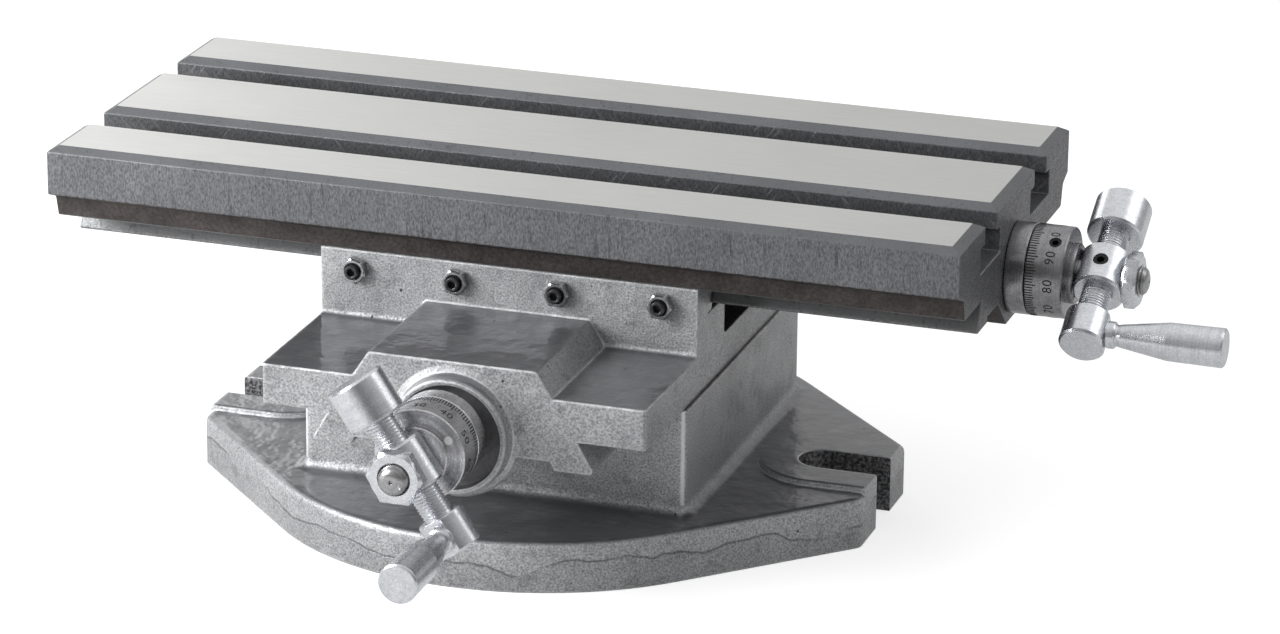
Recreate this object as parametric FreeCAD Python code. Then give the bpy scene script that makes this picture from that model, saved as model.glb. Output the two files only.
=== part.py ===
"""Cross slide table: a T-slotted table on two crossed dovetail slides, each driven by a screw and crank.

Frame: origin at the centre of the base's underside, X along the table to the right,
Y from the operator to the back, Z up. Millimetres throughout.
"""
import FreeCAD, Part
import math
import os

from FreeCAD import Placement, Rotation, Vector

# Rest positions of the two slides, measured from the middle of their travel
table_rest = -2.5
saddle_rest = 15.5

# Fits
film = 0.05
running_fit = 0.03
seat_fit = 0.02
thread_fit = 0.15
screw_gap = 0.10

# How far a cutting body reaches past the face it cuts, and how far a joined body reaches into its neighbour
over = 1.0

# Heights, each from the surface below it
flange_thickness = 17.5
slot_pad_height = 1.9
pedestal_height = 36.65
wing_thickness = 13.8
hump_rise = 8.7
cheek_height = 37.75
table_thickness = 27.0

# Base flange, seen from above: two arcs joined by tangents to short square ends
flange_half_length = 118.5
flange_end_half = 27.2
flange_corner_radius = 5.0
flange_arc_radius = 97.7
flange_arc_offset = 8.6
flange_edge_radius = 2.5
bolt_slot_width = 17.0
bolt_slot_depth = 29.8
slot_pad_half = 21.85
slot_pad_edge_radius = 1.2

# Pedestal that carries the lower ways
pedestal_half_width = 67.6
pedestal_front = -62.5
pedestal_rear = 68.5
pedestal_corner_radius = 3.0
pedestal_root_radius = 4.0
core_wall = 14.0
core_roof_thickness = 10.7
core_corner_radius = 12.0

# Dovetail ways
way_angle = math.radians(60.0)
lower_way_half = 43.2
lower_way_depth = 10.7
lower_floor_gap = 1.6
upper_way_half = 41.0
upper_way_depth = 10.2
upper_floor_gap = 2.1
way_corner_radius = 1.3
gib_thickness = 3.0
gib_end_gap = 0.5

# Gib screws with their locknuts
gib_screw_radius = 2.5
gib_screw_spacing = 36.0
gib_screw_count = 4
gib_screw_stand_out = 1.9
gib_screw_socket = 2.5
gib_screw_drop = 6.9
gib_nut_across = 8.0
gib_nut_thickness = 3.2
gib_nut_turns = (12.0, 4.0, 9.0, 22.0)

# Saddle casting
saddle_half_length = 66.5
cheek_half_span = 63.0
saddle_front_reach = 116.6
hump_half_top = 29.0
hump_half_foot = 34.6
lower_channel_half = 36.0
lower_channel_rise = 10.3
end_wall_thickness = 14.0
end_wall_clearance = 3.0
bearing_half = 15.0
upper_channel_half = 33.0
upper_channel_depth = 20.0
lug_pocket_depth = 25.4
lug_pocket_length = 24.0
lower_channel_radius = 4.0
end_wall_draft = 2.0
trough_radius = 3.0
pocket_radius = 2.0
saddle_edge_radius = 1.2
saddle_inner_radius = 2.0

# Round boss on the saddle's front, cast a little off the screw's axis
boss_shift_x = 1.0
boss_drop = 2.3
boss_radius = 19.8
boss_stand_out = 6.0
boss_rim_radius = 0.6
boss_foot = 2.8
boss_foot_bend = 0.3
recess_radius = 17.9
recess_depth = 4.6

# Table casting
table_length = 320.0
table_width = 144.0
land_chamfer_width = 3.2
slot_chamfer_width = 3.5
land_chamfer_drop = 2.0
end_chamfer_width = 3.5
side_depth = 17.0
cove_inset = 6.4
cove_drop = 2.5
lip_inset = 8.4
t_slot_offset = 32.35
t_slot_neck_half = 8.0
t_slot_neck_depth = 8.0
t_slot_wide_half = 12.8
t_slot_depth = 17.0
leg_inner_half = 34.0
slot_floor_thickness = 8.0
table_core_half = 13.0
end_wall_length = 16.0
end_wall_drop = 35.2
lug_top_half = 20.4
lug_bottom_half = 8.5
lug_drop = 46.3
lug_shoulder_radius = 2.0
lug_corner_radius = 1.0
side_foot_radius = 0.6
cove_radius = 2.0
lip_radius = 1.0
leg_corner_radius = 0.6
core_radius = 3.0

# Leadscrews
screw_radius = 6.0
journal_radius = 5.0
thrust_collar_radius = 8.5
thrust_collar_length = 4.0
screw_end_chamfer = 1.2
lower_axis_rise = 0.8
upper_axis_drop = 28.5
lower_thread_length = 133.0
upper_thread_length = 250.0
stud_stand_out = 2.9
stud_dome = 1.3
stud_dome_steps = ((0.86, 0.45), (0.45, 0.0))
centre_hole_radius = 0.6
centre_hole_depth = 1.2

# Leadscrew nuts
nut_length = 24.0
nut_body_half = 11.0
nut_wall = 3.0
nut_foot_half = 28.0
nut_foot_radius = 1.0
nut_root_radius = 1.5
nut_crown_radius = 7.7
upper_nut_foot = 8.0
lower_nut_foot = 6.0
lower_nut_set_back = 30.5
nut_screw_offset = 20.5
nut_screw_radius = 3.0
nut_screw_head_radius = 5.0
nut_screw_head_height = 6.0
nut_screw_length = 12.0
nut_screw_socket = 5.0

# Index collars and dials
collar_radius = 15.5
collar_length = 7.0
collar_neck_radius = 10.0
collar_shank_radius = 8.0
collar_stand_off = 9.8
dial_length = 12.8
dial_boss_radius = 10.2
dial_boss_length = 2.4
dial_pin_radius = 1.45
dial_pin_circle = 11.8
dial_pin_length = 5.0
dial_pin_stand_out = 0.35
dial_screw_radius = 2.0
dial_screw_socket = 2.0
dial_screw_from_end = 4.1
dial_edge_chamfer = 0.4
lower_pin_turn = 32.0
upper_pin_turn = 20.0
lower_dial_screw_turn = 50.0
upper_dial_screw_turn = 57.0

# Crank: one turned bar with a counterweight, a hub and a head for the handle
weight_radius = 9.7
weight_end = 32.6
weight_start = 17.8
crank_neck_radius = 4.8
hub_radius = 8.75
hub_half_length = 8.2
hub_flat = 8.0
head_radius = 7.9
head_start = 18.8
head_end = 31.4
head_flat = 7.1
crank_edge_chamfer = 0.8
crank_screw_radius = 2.5
crank_screw_socket = 2.5
grub_recess = 0.3
lower_crank_turn = -55.5
upper_crank_turn = 29.3

# Crank nut and handle
crank_nut_across = 17.0
crank_nut_thickness = 5.0
crank_nut_bevel_turn = 30.0
handle_length = 40.0
handle_edge = 0.6
handle_collar_radius = 4.55
handle_collar_length = 3.4
handle_neck_radius = 3.6
handle_shoulder = 21.0
handle_shoulder_radius = 6.4
handle_end_radius = 6.65
handle_spigot_radius = 3.0
handle_spigot_length = 9.0

# Sizes that follow from the ones above
flange_top = flange_thickness
pedestal_top = flange_top + pedestal_height
saddle_underside = pedestal_top + film
wing_top = saddle_underside + wing_thickness
cheek_top = saddle_underside + cheek_height
table_underside = cheek_top + film
table_top = table_underside + table_thickness
table_centre_x = table_rest
table_centre_y = saddle_rest
table_left = table_centre_x - table_length / 2
table_right = table_centre_x + table_length / 2
table_half_width = table_width / 2
pedestal_centre = (pedestal_front + pedestal_rear) / 2
lower_way_bottom = saddle_underside - lower_way_depth
groove_floor = lower_way_bottom - lower_floor_gap
upper_way_bottom = table_underside - upper_way_depth
upper_way_floor = upper_way_bottom - upper_floor_gap
lower_channel_roof = saddle_underside + lower_channel_rise
end_wall_underside = lower_way_bottom + end_wall_clearance
upper_channel_floor = cheek_top - upper_channel_depth
lug_pocket_floor = cheek_top - lug_pocket_depth
saddle_front = saddle_rest - saddle_front_reach
saddle_inner_wall = saddle_front + end_wall_thickness
saddle_rear = saddle_rest + cheek_half_span
cheek_front = saddle_rest - cheek_half_span
lower_axis_height = saddle_underside + lower_axis_rise
upper_axis_height = table_top - upper_axis_drop
lower_nut_centre = pedestal_front + lower_nut_set_back
boss_rim_y = saddle_front - boss_stand_out
recess_floor_y = boss_rim_y + recess_depth
table_wall_inner = table_right - end_wall_length
flank_film = film / math.sin(way_angle)
flank_gib = gib_thickness / math.sin(way_angle)
lower_collar_start = saddle_front - collar_stand_off
upper_collar_start = table_right
dial_start = collar_length + screw_gap
dial_end = dial_start + dial_length
hub_seat = dial_end + dial_boss_length + film
arm_station = hub_seat + hub_flat
nut_seat = arm_station + hub_flat
stud_end = nut_seat + crank_nut_thickness + stud_stand_out


def lift(plane, across, up, along):
    """Point in space from two coordinates in a section plane and one along its normal."""
    if plane == "XY":
        return Vector(across, up, along)
    if plane == "XZ":
        return Vector(across, along, up)
    return Vector(along, across, up)


def normal_of(plane):
    """Unit normal of a section plane, pointing along the remaining row axis."""
    return lift(plane, 0, 0, 1)


def section(corners, plane, along):
    """Flat face from (across, up, corner radius) corners, with rounded corners as arcs."""
    rounded = []
    count = len(corners)
    for index, (across, up, radius) in enumerate(corners):
        here = Vector(across, up, 0)
        before = Vector(corners[index - 1][0], corners[index - 1][1], 0) - here
        after = Vector(corners[(index + 1) % count][0], corners[(index + 1) % count][1], 0) - here
        if radius == 0:
            rounded.append((here, None, here))
            continue
        before.normalize()
        after.normalize()
        half_angle = before.getAngle(after) / 2
        middle = before + after
        middle.normalize()
        reach = radius / math.tan(half_angle)
        tip = here + middle * (radius / math.sin(half_angle) - radius)
        rounded.append((here + before * reach, tip, here + after * reach))
    edges = []
    for index, (start, tip, finish) in enumerate(rounded):
        last = rounded[index - 1][2]
        if last.distanceToPoint(start) > 1e-6:
            ends = [lift(plane, p.x, p.y, along) for p in (last, start)]
            edges.append(Part.makeLine(*ends))
        if tip is not None:
            points = [lift(plane, p.x, p.y, along) for p in (start, tip, finish)]
            edges.append(Part.Arc(*points).toShape())
    return Part.Face(Part.Wire(Part.__sortEdges__(edges)))


def prism(corners, plane, start, finish):
    """Solid of a section from one place along its normal to another."""
    face = section(corners, plane, start)
    return face.extrude(normal_of(plane) * (finish - start))


def block(x_range, y_range, z_range):
    """Rectangular solid from three (low, high) ranges."""
    low = Vector(x_range[0], y_range[0], z_range[0])
    return Part.makeBox(x_range[1] - x_range[0], y_range[1] - y_range[0], z_range[1] - z_range[0], low)


def rod(radius, start, direction, length):
    """Cylinder from a start point along a direction."""
    return Part.makeCylinder(radius, length, start, direction)


def turned(profile, start, direction):
    """Turned solid from (radius, distance) points, closed on its axis."""
    points = [Vector(0, 0, profile[0][1])]
    points += [Vector(radius, 0, distance) for radius, distance in profile]
    points += [Vector(0, 0, profile[-1][1]), Vector(0, 0, profile[0][1])]
    kept = [points[0]]
    for point in points[1:]:
        if point.distanceToPoint(kept[-1]) > 1e-6:
            kept.append(point)
    solid = Part.Face(Part.makePolygon(kept)).revolve(Vector(0, 0, 0), Vector(0, 0, 1), 360)
    solid.Placement = Placement(start, Rotation(Vector(0, 0, 1), direction))
    return solid


def hexagon(across_flats, start, direction, length, turn):
    """Six-sided bar, turned about its axis by an angle in degrees."""
    corner = across_flats / 2 / math.cos(math.radians(30))
    points = []
    for step in range(7):
        angle = math.radians(turn + 60 * step)
        points.append(Vector(corner * math.cos(angle), corner * math.sin(angle), 0))
    bar = Part.Face(Part.makePolygon(points)).extrude(Vector(0, 0, length))
    bar.Placement = Placement(start, Rotation(Vector(0, 0, 1), direction))
    return bar


def plain_nut(across_flats, thickness, bore_radius, start, direction, turn):
    """Hexagon nut with sharp corners."""
    body = hexagon(across_flats, start, direction, thickness, turn)
    return body.cut(rod(bore_radius, start, direction, thickness))


def bevelled_nut(across_flats, thickness, bore_radius, start, direction, turn):
    """Hexagon nut with its corners turned down at the outer face."""
    flat = across_flats / 2
    corner = flat / math.cos(math.radians(30)) + 0.1
    bevel = (corner - flat) * math.tan(math.radians(crank_nut_bevel_turn))
    trim = turned([(corner, 0), (corner, thickness - bevel), (flat, thickness)], start, direction)
    return plain_nut(across_flats, thickness, bore_radius, start, direction, turn).common(trim)


def set_screw(radius, length, socket, start, direction):
    """Socket set screw from its open end to its tip."""
    return rod(radius, start, direction, length).cut(hexagon(socket, start, direction, socket, 0))


def cap_screw(start):
    """Socket cap screw standing with its head seated at a point and its shank going down."""
    down = Vector(0, 0, -1)
    top = start + Vector(0, 0, nut_screw_head_height)
    tip = nut_screw_head_height + nut_screw_length
    profile = [
        (nut_screw_head_radius, 0), (nut_screw_head_radius, nut_screw_head_height),
        (nut_screw_radius, nut_screw_head_height), (nut_screw_radius, tip),
    ]
    socket = hexagon(nut_screw_socket, top, down, nut_screw_head_height / 2, 0)
    return turned(profile, top, down).cut(socket)


def soften(solid, radius, wanted):
    """Round the edges of a solid that a test picks."""
    edges = [edge for edge in solid.Edges if wanted(edge)]
    return solid.makeFillet(radius, edges)


def at_height(height):
    """Test for the edges that lie level at one height."""
    return lambda edge: all(abs(vertex.Z - height) < 1e-6 for vertex in edge.Vertexes)


def flank(half, root, height):
    """Half width of a dovetail at a height, from its half width at the root, wider further down."""
    return half + (root - height) / math.tan(way_angle)


def dovetail(half_left, half_right, root, bottom, above, plane, centre, start, finish, corner):
    """Dovetail bar whose root lies at one height and whose wide face lies at the bottom."""
    corners = [
        (centre - flank(half_left, root, root + above), root + above, 0),
        (centre - flank(half_left, root, bottom), bottom, corner),
        (centre + flank(half_right, root, bottom), bottom, corner),
        (centre + flank(half_right, root, root + above), root + above, 0),
    ]
    return prism(corners, plane, start, finish)


def spread(count, spacing):
    """Evenly spaced offsets about zero."""
    return [(index - (count - 1) / 2) * spacing for index in range(count)]


def flange_outline():
    """Flange face on the ground: front and rear arcs with tangents to the rounded end corners."""
    reach_x = flange_half_length
    reach_y = flange_end_half - flange_arc_offset
    swing = math.acos(flange_arc_radius / math.hypot(reach_x, reach_y))
    apex = flange_arc_offset + flange_arc_radius / abs(math.sin(math.atan2(reach_y, reach_x) + swing))
    corners = [
        (-flange_half_length, -flange_end_half, flange_corner_radius),
        (0, -apex, flange_arc_radius),
        (flange_half_length, -flange_end_half, flange_corner_radius),
        (flange_half_length, flange_end_half, flange_corner_radius),
        (0, apex, flange_arc_radius),
        (-flange_half_length, flange_end_half, flange_corner_radius),
    ]
    return section(corners, "XY", 0)


def bolt_slot(side):
    """Open-ended bolt slot cut from one end of the flange."""
    half = bolt_slot_width / 2
    centre = flange_half_length - bolt_slot_depth + half
    height = flange_top + slot_pad_height + over
    outer = flange_half_length + over
    cut = block(sorted((side * centre, side * outer)), (-half, half), (-over, height))
    return cut.fuse(rod(half, Vector(side * centre, 0, -over), Vector(0, 0, 1), height + over))


def slot_pad(side):
    """Raised pad around one bolt slot."""
    centre = flange_half_length - bolt_slot_depth + bolt_slot_width / 2
    low = flange_top - flange_edge_radius
    height = slot_pad_height + flange_edge_radius
    run = sorted((side * centre, side * flange_half_length))
    pad = block(run, (-slot_pad_half, slot_pad_half), (low, low + height))
    nose = rod(slot_pad_half, Vector(side * centre, 0, low), Vector(0, 0, 1), height)
    pad = pad.fuse(nose).removeSplitter()
    return soften(pad, slot_pad_edge_radius, at_height(low + height))


def gib_screw_height(root):
    """Height of a row of gib screws below the root of its way."""
    return root - gib_screw_drop


def gib_tip(half, root):
    """Distance of a gib screw's tip from the way's middle."""
    touch = gib_screw_height(root) - gib_screw_radius
    return flank(half + flank_film + flank_gib, root, touch) + screw_gap


def base_casting():
    """Flange with open bolt slots, hollow pedestal and the lower dovetail groove."""
    flange = flange_outline().extrude(Vector(0, 0, flange_top))
    flange = soften(flange, flange_edge_radius, at_height(flange_top))
    walls = [
        (-pedestal_half_width, pedestal_front, pedestal_corner_radius),
        (pedestal_half_width, pedestal_front, pedestal_corner_radius),
        (pedestal_half_width, pedestal_rear, pedestal_corner_radius),
        (-pedestal_half_width, pedestal_rear, pedestal_corner_radius),
    ]
    body = flange.fuse(prism(walls, "XY", flange_top / 2, pedestal_top)).removeSplitter()

    def at_root(edge):
        box = edge.BoundBox
        level = abs(box.ZMin - flange_top) < 1e-6 and abs(box.ZMax - flange_top) < 1e-6
        return level and box.XMax < pedestal_half_width + over and box.XMin > -pedestal_half_width - over \
            and box.YMin > pedestal_front - over and box.YMax < pedestal_rear + over

    body = soften(body, pedestal_root_radius, at_root)
    for side in (-1, 1):
        body = body.fuse(slot_pad(side))
    groove = dovetail(
        lower_way_half + 2 * flank_film + flank_gib, lower_way_half + flank_film,
        saddle_underside, groove_floor, over, "XZ", 0, pedestal_front - over, pedestal_rear + over, 0,
    )
    body = body.cut(groove)
    inner = pedestal_half_width - core_wall
    core_walls = [
        (-inner, pedestal_front + core_wall, core_corner_radius),
        (inner, pedestal_front + core_wall, core_corner_radius),
        (inner, pedestal_rear - core_wall, core_corner_radius),
        (-inner, pedestal_rear - core_wall, core_corner_radius),
    ]
    core_top = groove_floor - core_roof_thickness
    body = body.cut(prism(core_walls, "XY", -over, core_top))
    for side in (-1, 1):
        body = body.cut(bolt_slot(side))
    for side in (-1, 1):
        seat = Vector(side * nut_screw_offset, lower_nut_centre, groove_floor)
        depth = nut_screw_length - lower_nut_foot + over
        body = body.cut(rod(nut_screw_radius + film, seat, Vector(0, 0, -1), depth))
    for offset in spread(gib_screw_count, gib_screw_spacing):
        height = gib_screw_height(saddle_underside)
        start = Vector(-pedestal_half_width - over, pedestal_centre + offset, height)
        reach = pedestal_half_width + over - lower_way_half
        body = body.cut(rod(gib_screw_radius + film, start, Vector(1, 0, 0), reach))
    return body.removeSplitter()


def gib_strip(half, root, floor, plane, centre, start, finish):
    """Adjusting strip that fills the gap beside a male dovetail, on its negative side."""
    inner = half + flank_film
    outer = inner + flank_gib
    top = root - gib_end_gap
    low = floor + gib_end_gap
    corners = [
        (centre - flank(inner, root, top), top, 0),
        (centre - flank(inner, root, low), low, 0),
        (centre - flank(outer, root, low), low, 0),
        (centre - flank(outer, root, top), top, 0),
    ]
    return prism(corners, plane, start, finish)


def gib_fasteners(face, half, root, centre, along, direction):
    """Set screws and locknuts in a row along one way, as two groups of solids."""
    screws = []
    nuts = []
    height = gib_screw_height(root)
    stand = gib_nut_thickness + gib_screw_stand_out
    length = centre - gib_tip(half, root) - face + stand
    for offset, turn in zip(spread(gib_screw_count, gib_screw_spacing), gib_nut_turns):
        if direction.x:
            seat = Vector(face, along + offset, height)
        else:
            seat = Vector(along + offset, face, height)
        end = seat - direction * stand
        screws.append(set_screw(gib_screw_radius, length, gib_screw_socket, end, direction))
        nut_seat_point = seat - direction * gib_nut_thickness
        nuts.append(plain_nut(
            gib_nut_across, gib_nut_thickness, gib_screw_radius + film, nut_seat_point, direction, turn,
        ))
    return Part.makeCompound(screws), Part.makeCompound(nuts)


def screw_nut(plane, centre, foot_low, foot_thickness, axis_height, start):
    """Leadscrew nut: a foot that is screwed down and a rounded body around the screw."""
    top = axis_height + screw_radius + nut_wall
    foot_top = foot_low + foot_thickness
    corners = [
        (centre - nut_foot_half, foot_low, 0),
        (centre + nut_foot_half, foot_low, 0),
        (centre + nut_foot_half, foot_top, nut_foot_radius),
        (centre + nut_body_half, foot_top, nut_root_radius),
        (centre + nut_body_half, top, nut_crown_radius),
        (centre - nut_body_half, top, nut_crown_radius),
        (centre - nut_body_half, foot_top, nut_root_radius),
        (centre - nut_foot_half, foot_top, nut_foot_radius),
    ]
    body = prism(corners, plane, start, start + nut_length)
    axis_point = lift(plane, centre, axis_height, start)
    body = body.cut(rod(screw_radius + thread_fit, axis_point, normal_of(plane), nut_length))
    for side in (-1, 1):
        seat = lift(plane, centre + side * nut_screw_offset, foot_top, start + nut_length / 2)
        body = body.cut(rod(nut_screw_radius + film, seat, Vector(0, 0, -1), foot_thickness))
    return body


def nut_screws(plane, centre, foot_top, middle):
    """The pair of cap screws that hold a leadscrew nut down."""
    seats = [lift(plane, centre + side * nut_screw_offset, foot_top, middle) for side in (-1, 1)]
    return Part.makeCompound([cap_screw(seat) for seat in seats])


def saddle_casting():
    """Cross-shaped slide: dovetail below, dovetail groove above and a front wall with a round boss."""
    half = saddle_half_length
    plan = [
        (-half, saddle_front, saddle_edge_radius),
        (half, saddle_front, saddle_edge_radius),
        (half, saddle_rear, saddle_edge_radius),
        (-half, saddle_rear, saddle_edge_radius),
    ]
    body = prism(plan, "XY", saddle_underside, wing_top)
    side_view = [
        (cheek_front, wing_top - wing_thickness / 2, 0),
        (saddle_rear, wing_top - wing_thickness / 2, 0),
        (saddle_rear, cheek_top, 0),
        (cheek_front, cheek_top, saddle_edge_radius / 2),
    ]
    body = body.fuse(prism(side_view, "YZ", -half, half))
    hump = [
        (-hump_half_foot, wing_top, 0),
        (-hump_half_foot, wing_top - over, 0),
        (hump_half_foot, wing_top - over, 0),
        (hump_half_foot, wing_top, 0),
        (hump_half_top, wing_top + hump_rise, saddle_edge_radius),
        (-hump_half_top, wing_top + hump_rise, saddle_edge_radius),
    ]
    body = body.fuse(prism(hump, "XZ", saddle_front, cheek_front + over))
    tail = dovetail(
        lower_way_half, lower_way_half, saddle_underside, lower_way_bottom, over, "XZ", 0,
        saddle_front, saddle_rear, way_corner_radius,
    )
    body = body.fuse(tail).removeSplitter()

    def inside_corner(edge):
        box = edge.BoundBox
        level = abs(box.ZMin - wing_top) < 1e-6 and abs(box.ZMax - wing_top) < 1e-6
        return level and abs(box.YMin - cheek_front) < 1e-3 and abs(box.YMax - cheek_front) < 1e-3

    body = soften(body, saddle_inner_radius, inside_corner)
    channel = [
        (-lower_channel_half, lower_way_bottom - over, 0),
        (lower_channel_half, lower_way_bottom - over, 0),
        (lower_channel_half, lower_channel_roof, lower_channel_radius),
        (-lower_channel_half, lower_channel_roof, lower_channel_radius),
    ]
    body = body.cut(prism(channel, "XZ", saddle_inner_wall, saddle_rear + over))
    wall_gap = [
        (-lower_channel_half, lower_way_bottom - over, 0),
        (lower_channel_half, lower_way_bottom - over, 0),
        (lower_channel_half - end_wall_draft, end_wall_underside, end_wall_draft / 2),
        (-lower_channel_half + end_wall_draft, end_wall_underside, end_wall_draft / 2),
    ]
    body = body.cut(prism(wall_gap, "XZ", saddle_front - over, saddle_inner_wall + over))
    wall_depth = (saddle_front, saddle_inner_wall)
    body = body.fuse(block((-bearing_half, bearing_half), wall_depth, (lower_way_bottom, lower_axis_height)))
    groove = dovetail(
        upper_way_half + 2 * flank_film + flank_gib, upper_way_half + flank_film,
        table_underside, upper_way_floor, over, "YZ", saddle_rest, -half - over, half + over, 0,
    )
    body = body.cut(groove)
    trough = [
        (saddle_rest - upper_channel_half, upper_way_floor + over, 0),
        (saddle_rest - upper_channel_half, upper_channel_floor, trough_radius),
        (saddle_rest + upper_channel_half, upper_channel_floor, trough_radius),
        (saddle_rest + upper_channel_half, upper_way_floor + over, 0),
    ]
    body = body.cut(prism(trough, "YZ", -half - over, half + over))
    pocket = [
        (saddle_rest - upper_channel_half, upper_way_floor + over, 0),
        (saddle_rest - upper_channel_half, lug_pocket_floor, pocket_radius),
        (saddle_rest + upper_channel_half, lug_pocket_floor, pocket_radius),
        (saddle_rest + upper_channel_half, upper_way_floor + over, 0),
    ]
    body = body.cut(prism(pocket, "YZ", half - lug_pocket_length, half + over))
    body = add_boss(body)
    for side in (-1, 1):
        seat = Vector(0, saddle_rest + side * nut_screw_offset, upper_channel_floor)
        depth = nut_screw_length - upper_nut_foot + over
        body = body.cut(rod(nut_screw_radius + film, seat, Vector(0, 0, -1), depth))
    for offset in spread(gib_screw_count, gib_screw_spacing):
        start = Vector(offset, cheek_front - over, gib_screw_height(table_underside))
        reach = cheek_half_span + over - upper_way_half
        body = body.cut(rod(gib_screw_radius + film, start, Vector(0, 1, 0), reach))
    return body.removeSplitter()


def add_boss(body):
    """Round boss with its recess, and the bore for the collar's shank through the end wall."""
    back = Vector(0, 1, 0)
    rim = Vector(boss_shift_x, boss_rim_y, lower_axis_height - boss_drop)
    bend = boss_foot * boss_foot_bend
    disc = turned(
        [
            (boss_radius, 0), (boss_radius, boss_stand_out - boss_foot),
            (boss_radius + bend, boss_stand_out - bend), (boss_radius + boss_foot, boss_stand_out),
            (boss_radius + boss_foot, boss_stand_out + over),
        ],
        rim,
        back,
    )
    below = block(
        (-2 * boss_radius, 2 * boss_radius), (saddle_front, saddle_front + 2 * over),
        (0, end_wall_underside + over),
    )
    body = body.fuse(disc.cut(below)).removeSplitter()

    def at_rim(edge):
        box = edge.BoundBox
        return abs(box.YMin - rim.y) < 1e-6 and abs(box.YMax - rim.y) < 1e-6

    body = soften(body, boss_rim_radius, at_rim)
    body = body.cut(rod(recess_radius, rim - back * over, back, recess_depth + over))
    axis_point = Vector(0, rim.y, lower_axis_height)
    bore_length = saddle_inner_wall - rim.y + over
    return body.cut(rod(collar_shank_radius + seat_fit, axis_point, back, bore_length))


def table_casting():
    """Table with two T-slots, a male dovetail below, a cored channel and a right-hand end wall."""
    half = table_half_width
    middle = table_centre_y
    roof = table_top - t_slot_depth - slot_floor_thickness
    core_roof = table_top - t_slot_depth
    right_side = [
        (half - land_chamfer_width, table_top, 0),
        (half, table_top - land_chamfer_drop, 0),
        (half, table_top - side_depth, side_foot_radius),
        (half - cove_inset, table_top - side_depth - cove_drop, cove_radius),
        (half - lip_inset, table_underside, lip_radius),
        (upper_way_half, table_underside, 0),
        (flank(upper_way_half, table_underside, upper_way_bottom), upper_way_bottom, leg_corner_radius),
        (leg_inner_half, upper_way_bottom, leg_corner_radius),
        (leg_inner_half, roof, core_radius),
        (table_core_half, roof, core_radius / 3),
        (table_core_half, core_roof, core_radius),
    ]
    corners = [(middle + across, up, radius) for across, up, radius in right_side]
    corners += [(middle - across, up, radius) for across, up, radius in reversed(right_side)]
    body = prism(corners, "YZ", table_left, table_right)
    wall = [
        (-leg_inner_half - over, roof + over, 0),
        (-leg_inner_half - over, table_top - end_wall_drop, 0),
        (-lug_top_half, table_top - end_wall_drop, lug_shoulder_radius),
        (-lug_bottom_half, table_top - lug_drop, lug_corner_radius),
        (lug_bottom_half, table_top - lug_drop, lug_corner_radius),
        (lug_top_half, table_top - end_wall_drop, lug_shoulder_radius),
        (leg_inner_half + over, table_top - end_wall_drop, 0),
        (leg_inner_half + over, roof + over, 0),
    ]
    wall = [(middle + across, up, radius) for across, up, radius in wall]
    body = body.fuse(prism(wall, "YZ", table_wall_inner, table_right))
    plug = table_core_half + over
    wall_depth = (table_wall_inner, table_right)
    body = body.fuse(block(wall_depth, (middle - plug, middle + plug), (roof, core_roof + over)))
    body = body.removeSplitter()
    for side in (-1, 1):
        body = body.cut(t_slot(middle + side * t_slot_offset))
    for end, side in ((table_left, 1), (table_right, -1)):
        wedge = [
            (end - side * over, table_top + over, 0),
            (end - side * over, table_top - land_chamfer_drop, 0),
            (end, table_top - land_chamfer_drop, 0),
            (end + side * end_chamfer_width, table_top, 0),
            (end + side * end_chamfer_width, table_top + over, 0),
        ]
        body = body.cut(prism(wedge, "XZ", middle - half - over, middle + half + over))
    bearing = Vector(table_wall_inner - over, middle, upper_axis_height)
    bore_length = end_wall_length + 2 * over
    body = body.cut(rod(collar_shank_radius + seat_fit, bearing, Vector(1, 0, 0), bore_length))
    return body.removeSplitter()


def t_slot(middle):
    """T-slot along the whole table, with the chamfered mouth."""
    neck = t_slot_neck_half
    mouth = neck + slot_chamfer_width
    shoulder = table_top - t_slot_neck_depth
    floor = table_top - t_slot_depth
    right_side = [
        (mouth, table_top, 0),
        (neck, table_top - land_chamfer_drop, 0),
        (neck, shoulder, 0),
        (t_slot_wide_half, shoulder, 0),
        (t_slot_wide_half, floor, 0),
    ]
    corners = [(middle + mouth, table_top + over, 0)]
    corners += [(middle + across, up, radius) for across, up, radius in right_side]
    corners += [(middle - across, up, radius) for across, up, radius in reversed(right_side)]
    corners.append((middle - mouth, table_top + over, 0))
    return prism(corners, "YZ", table_left - over, table_right + over)


def index_collar(start, outward, neck_length, shank_length):
    """Flanged bush: the fixed ring beside the dial, and the screw's bearing in the casting."""
    chamfer = dial_edge_chamfer
    total = neck_length + shank_length
    profile = [(collar_shank_radius, -total), (collar_shank_radius, -neck_length)]
    if neck_length:
        profile += [(collar_neck_radius, -neck_length), (collar_neck_radius, 0)]
    profile += [
        (collar_radius - chamfer, 0), (collar_radius, chamfer),
        (collar_radius, collar_length - chamfer), (collar_radius - chamfer, collar_length),
    ]
    body = turned(profile, start, outward)
    inner_end = start - outward * total
    return body.cut(rod(journal_radius + running_fit, inner_end, outward, total + collar_length))


def leadscrew(start, outward, bearing_length, thread_length):
    """Screw with its thrust collar, journal and domed end, on the axis of its index collar."""
    inside = -bearing_length - screw_gap
    thread_start = inside - thrust_collar_length
    profile = [
        (screw_radius - screw_end_chamfer, thread_start - thread_length),
        (screw_radius, thread_start - thread_length + screw_end_chamfer),
        (screw_radius, thread_start),
        (thrust_collar_radius, thread_start),
        (thrust_collar_radius, inside),
        (journal_radius, inside),
        (journal_radius, stud_end - stud_dome),
    ]
    for radius_share, drop_share in stud_dome_steps:
        profile.append((journal_radius * radius_share, stud_end - stud_dome * drop_share))
    body = turned(profile, start, outward)
    hole = start + outward * (stud_end - centre_hole_depth)
    return body.cut(rod(centre_hole_radius, hole, outward, centre_hole_depth + over))


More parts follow.
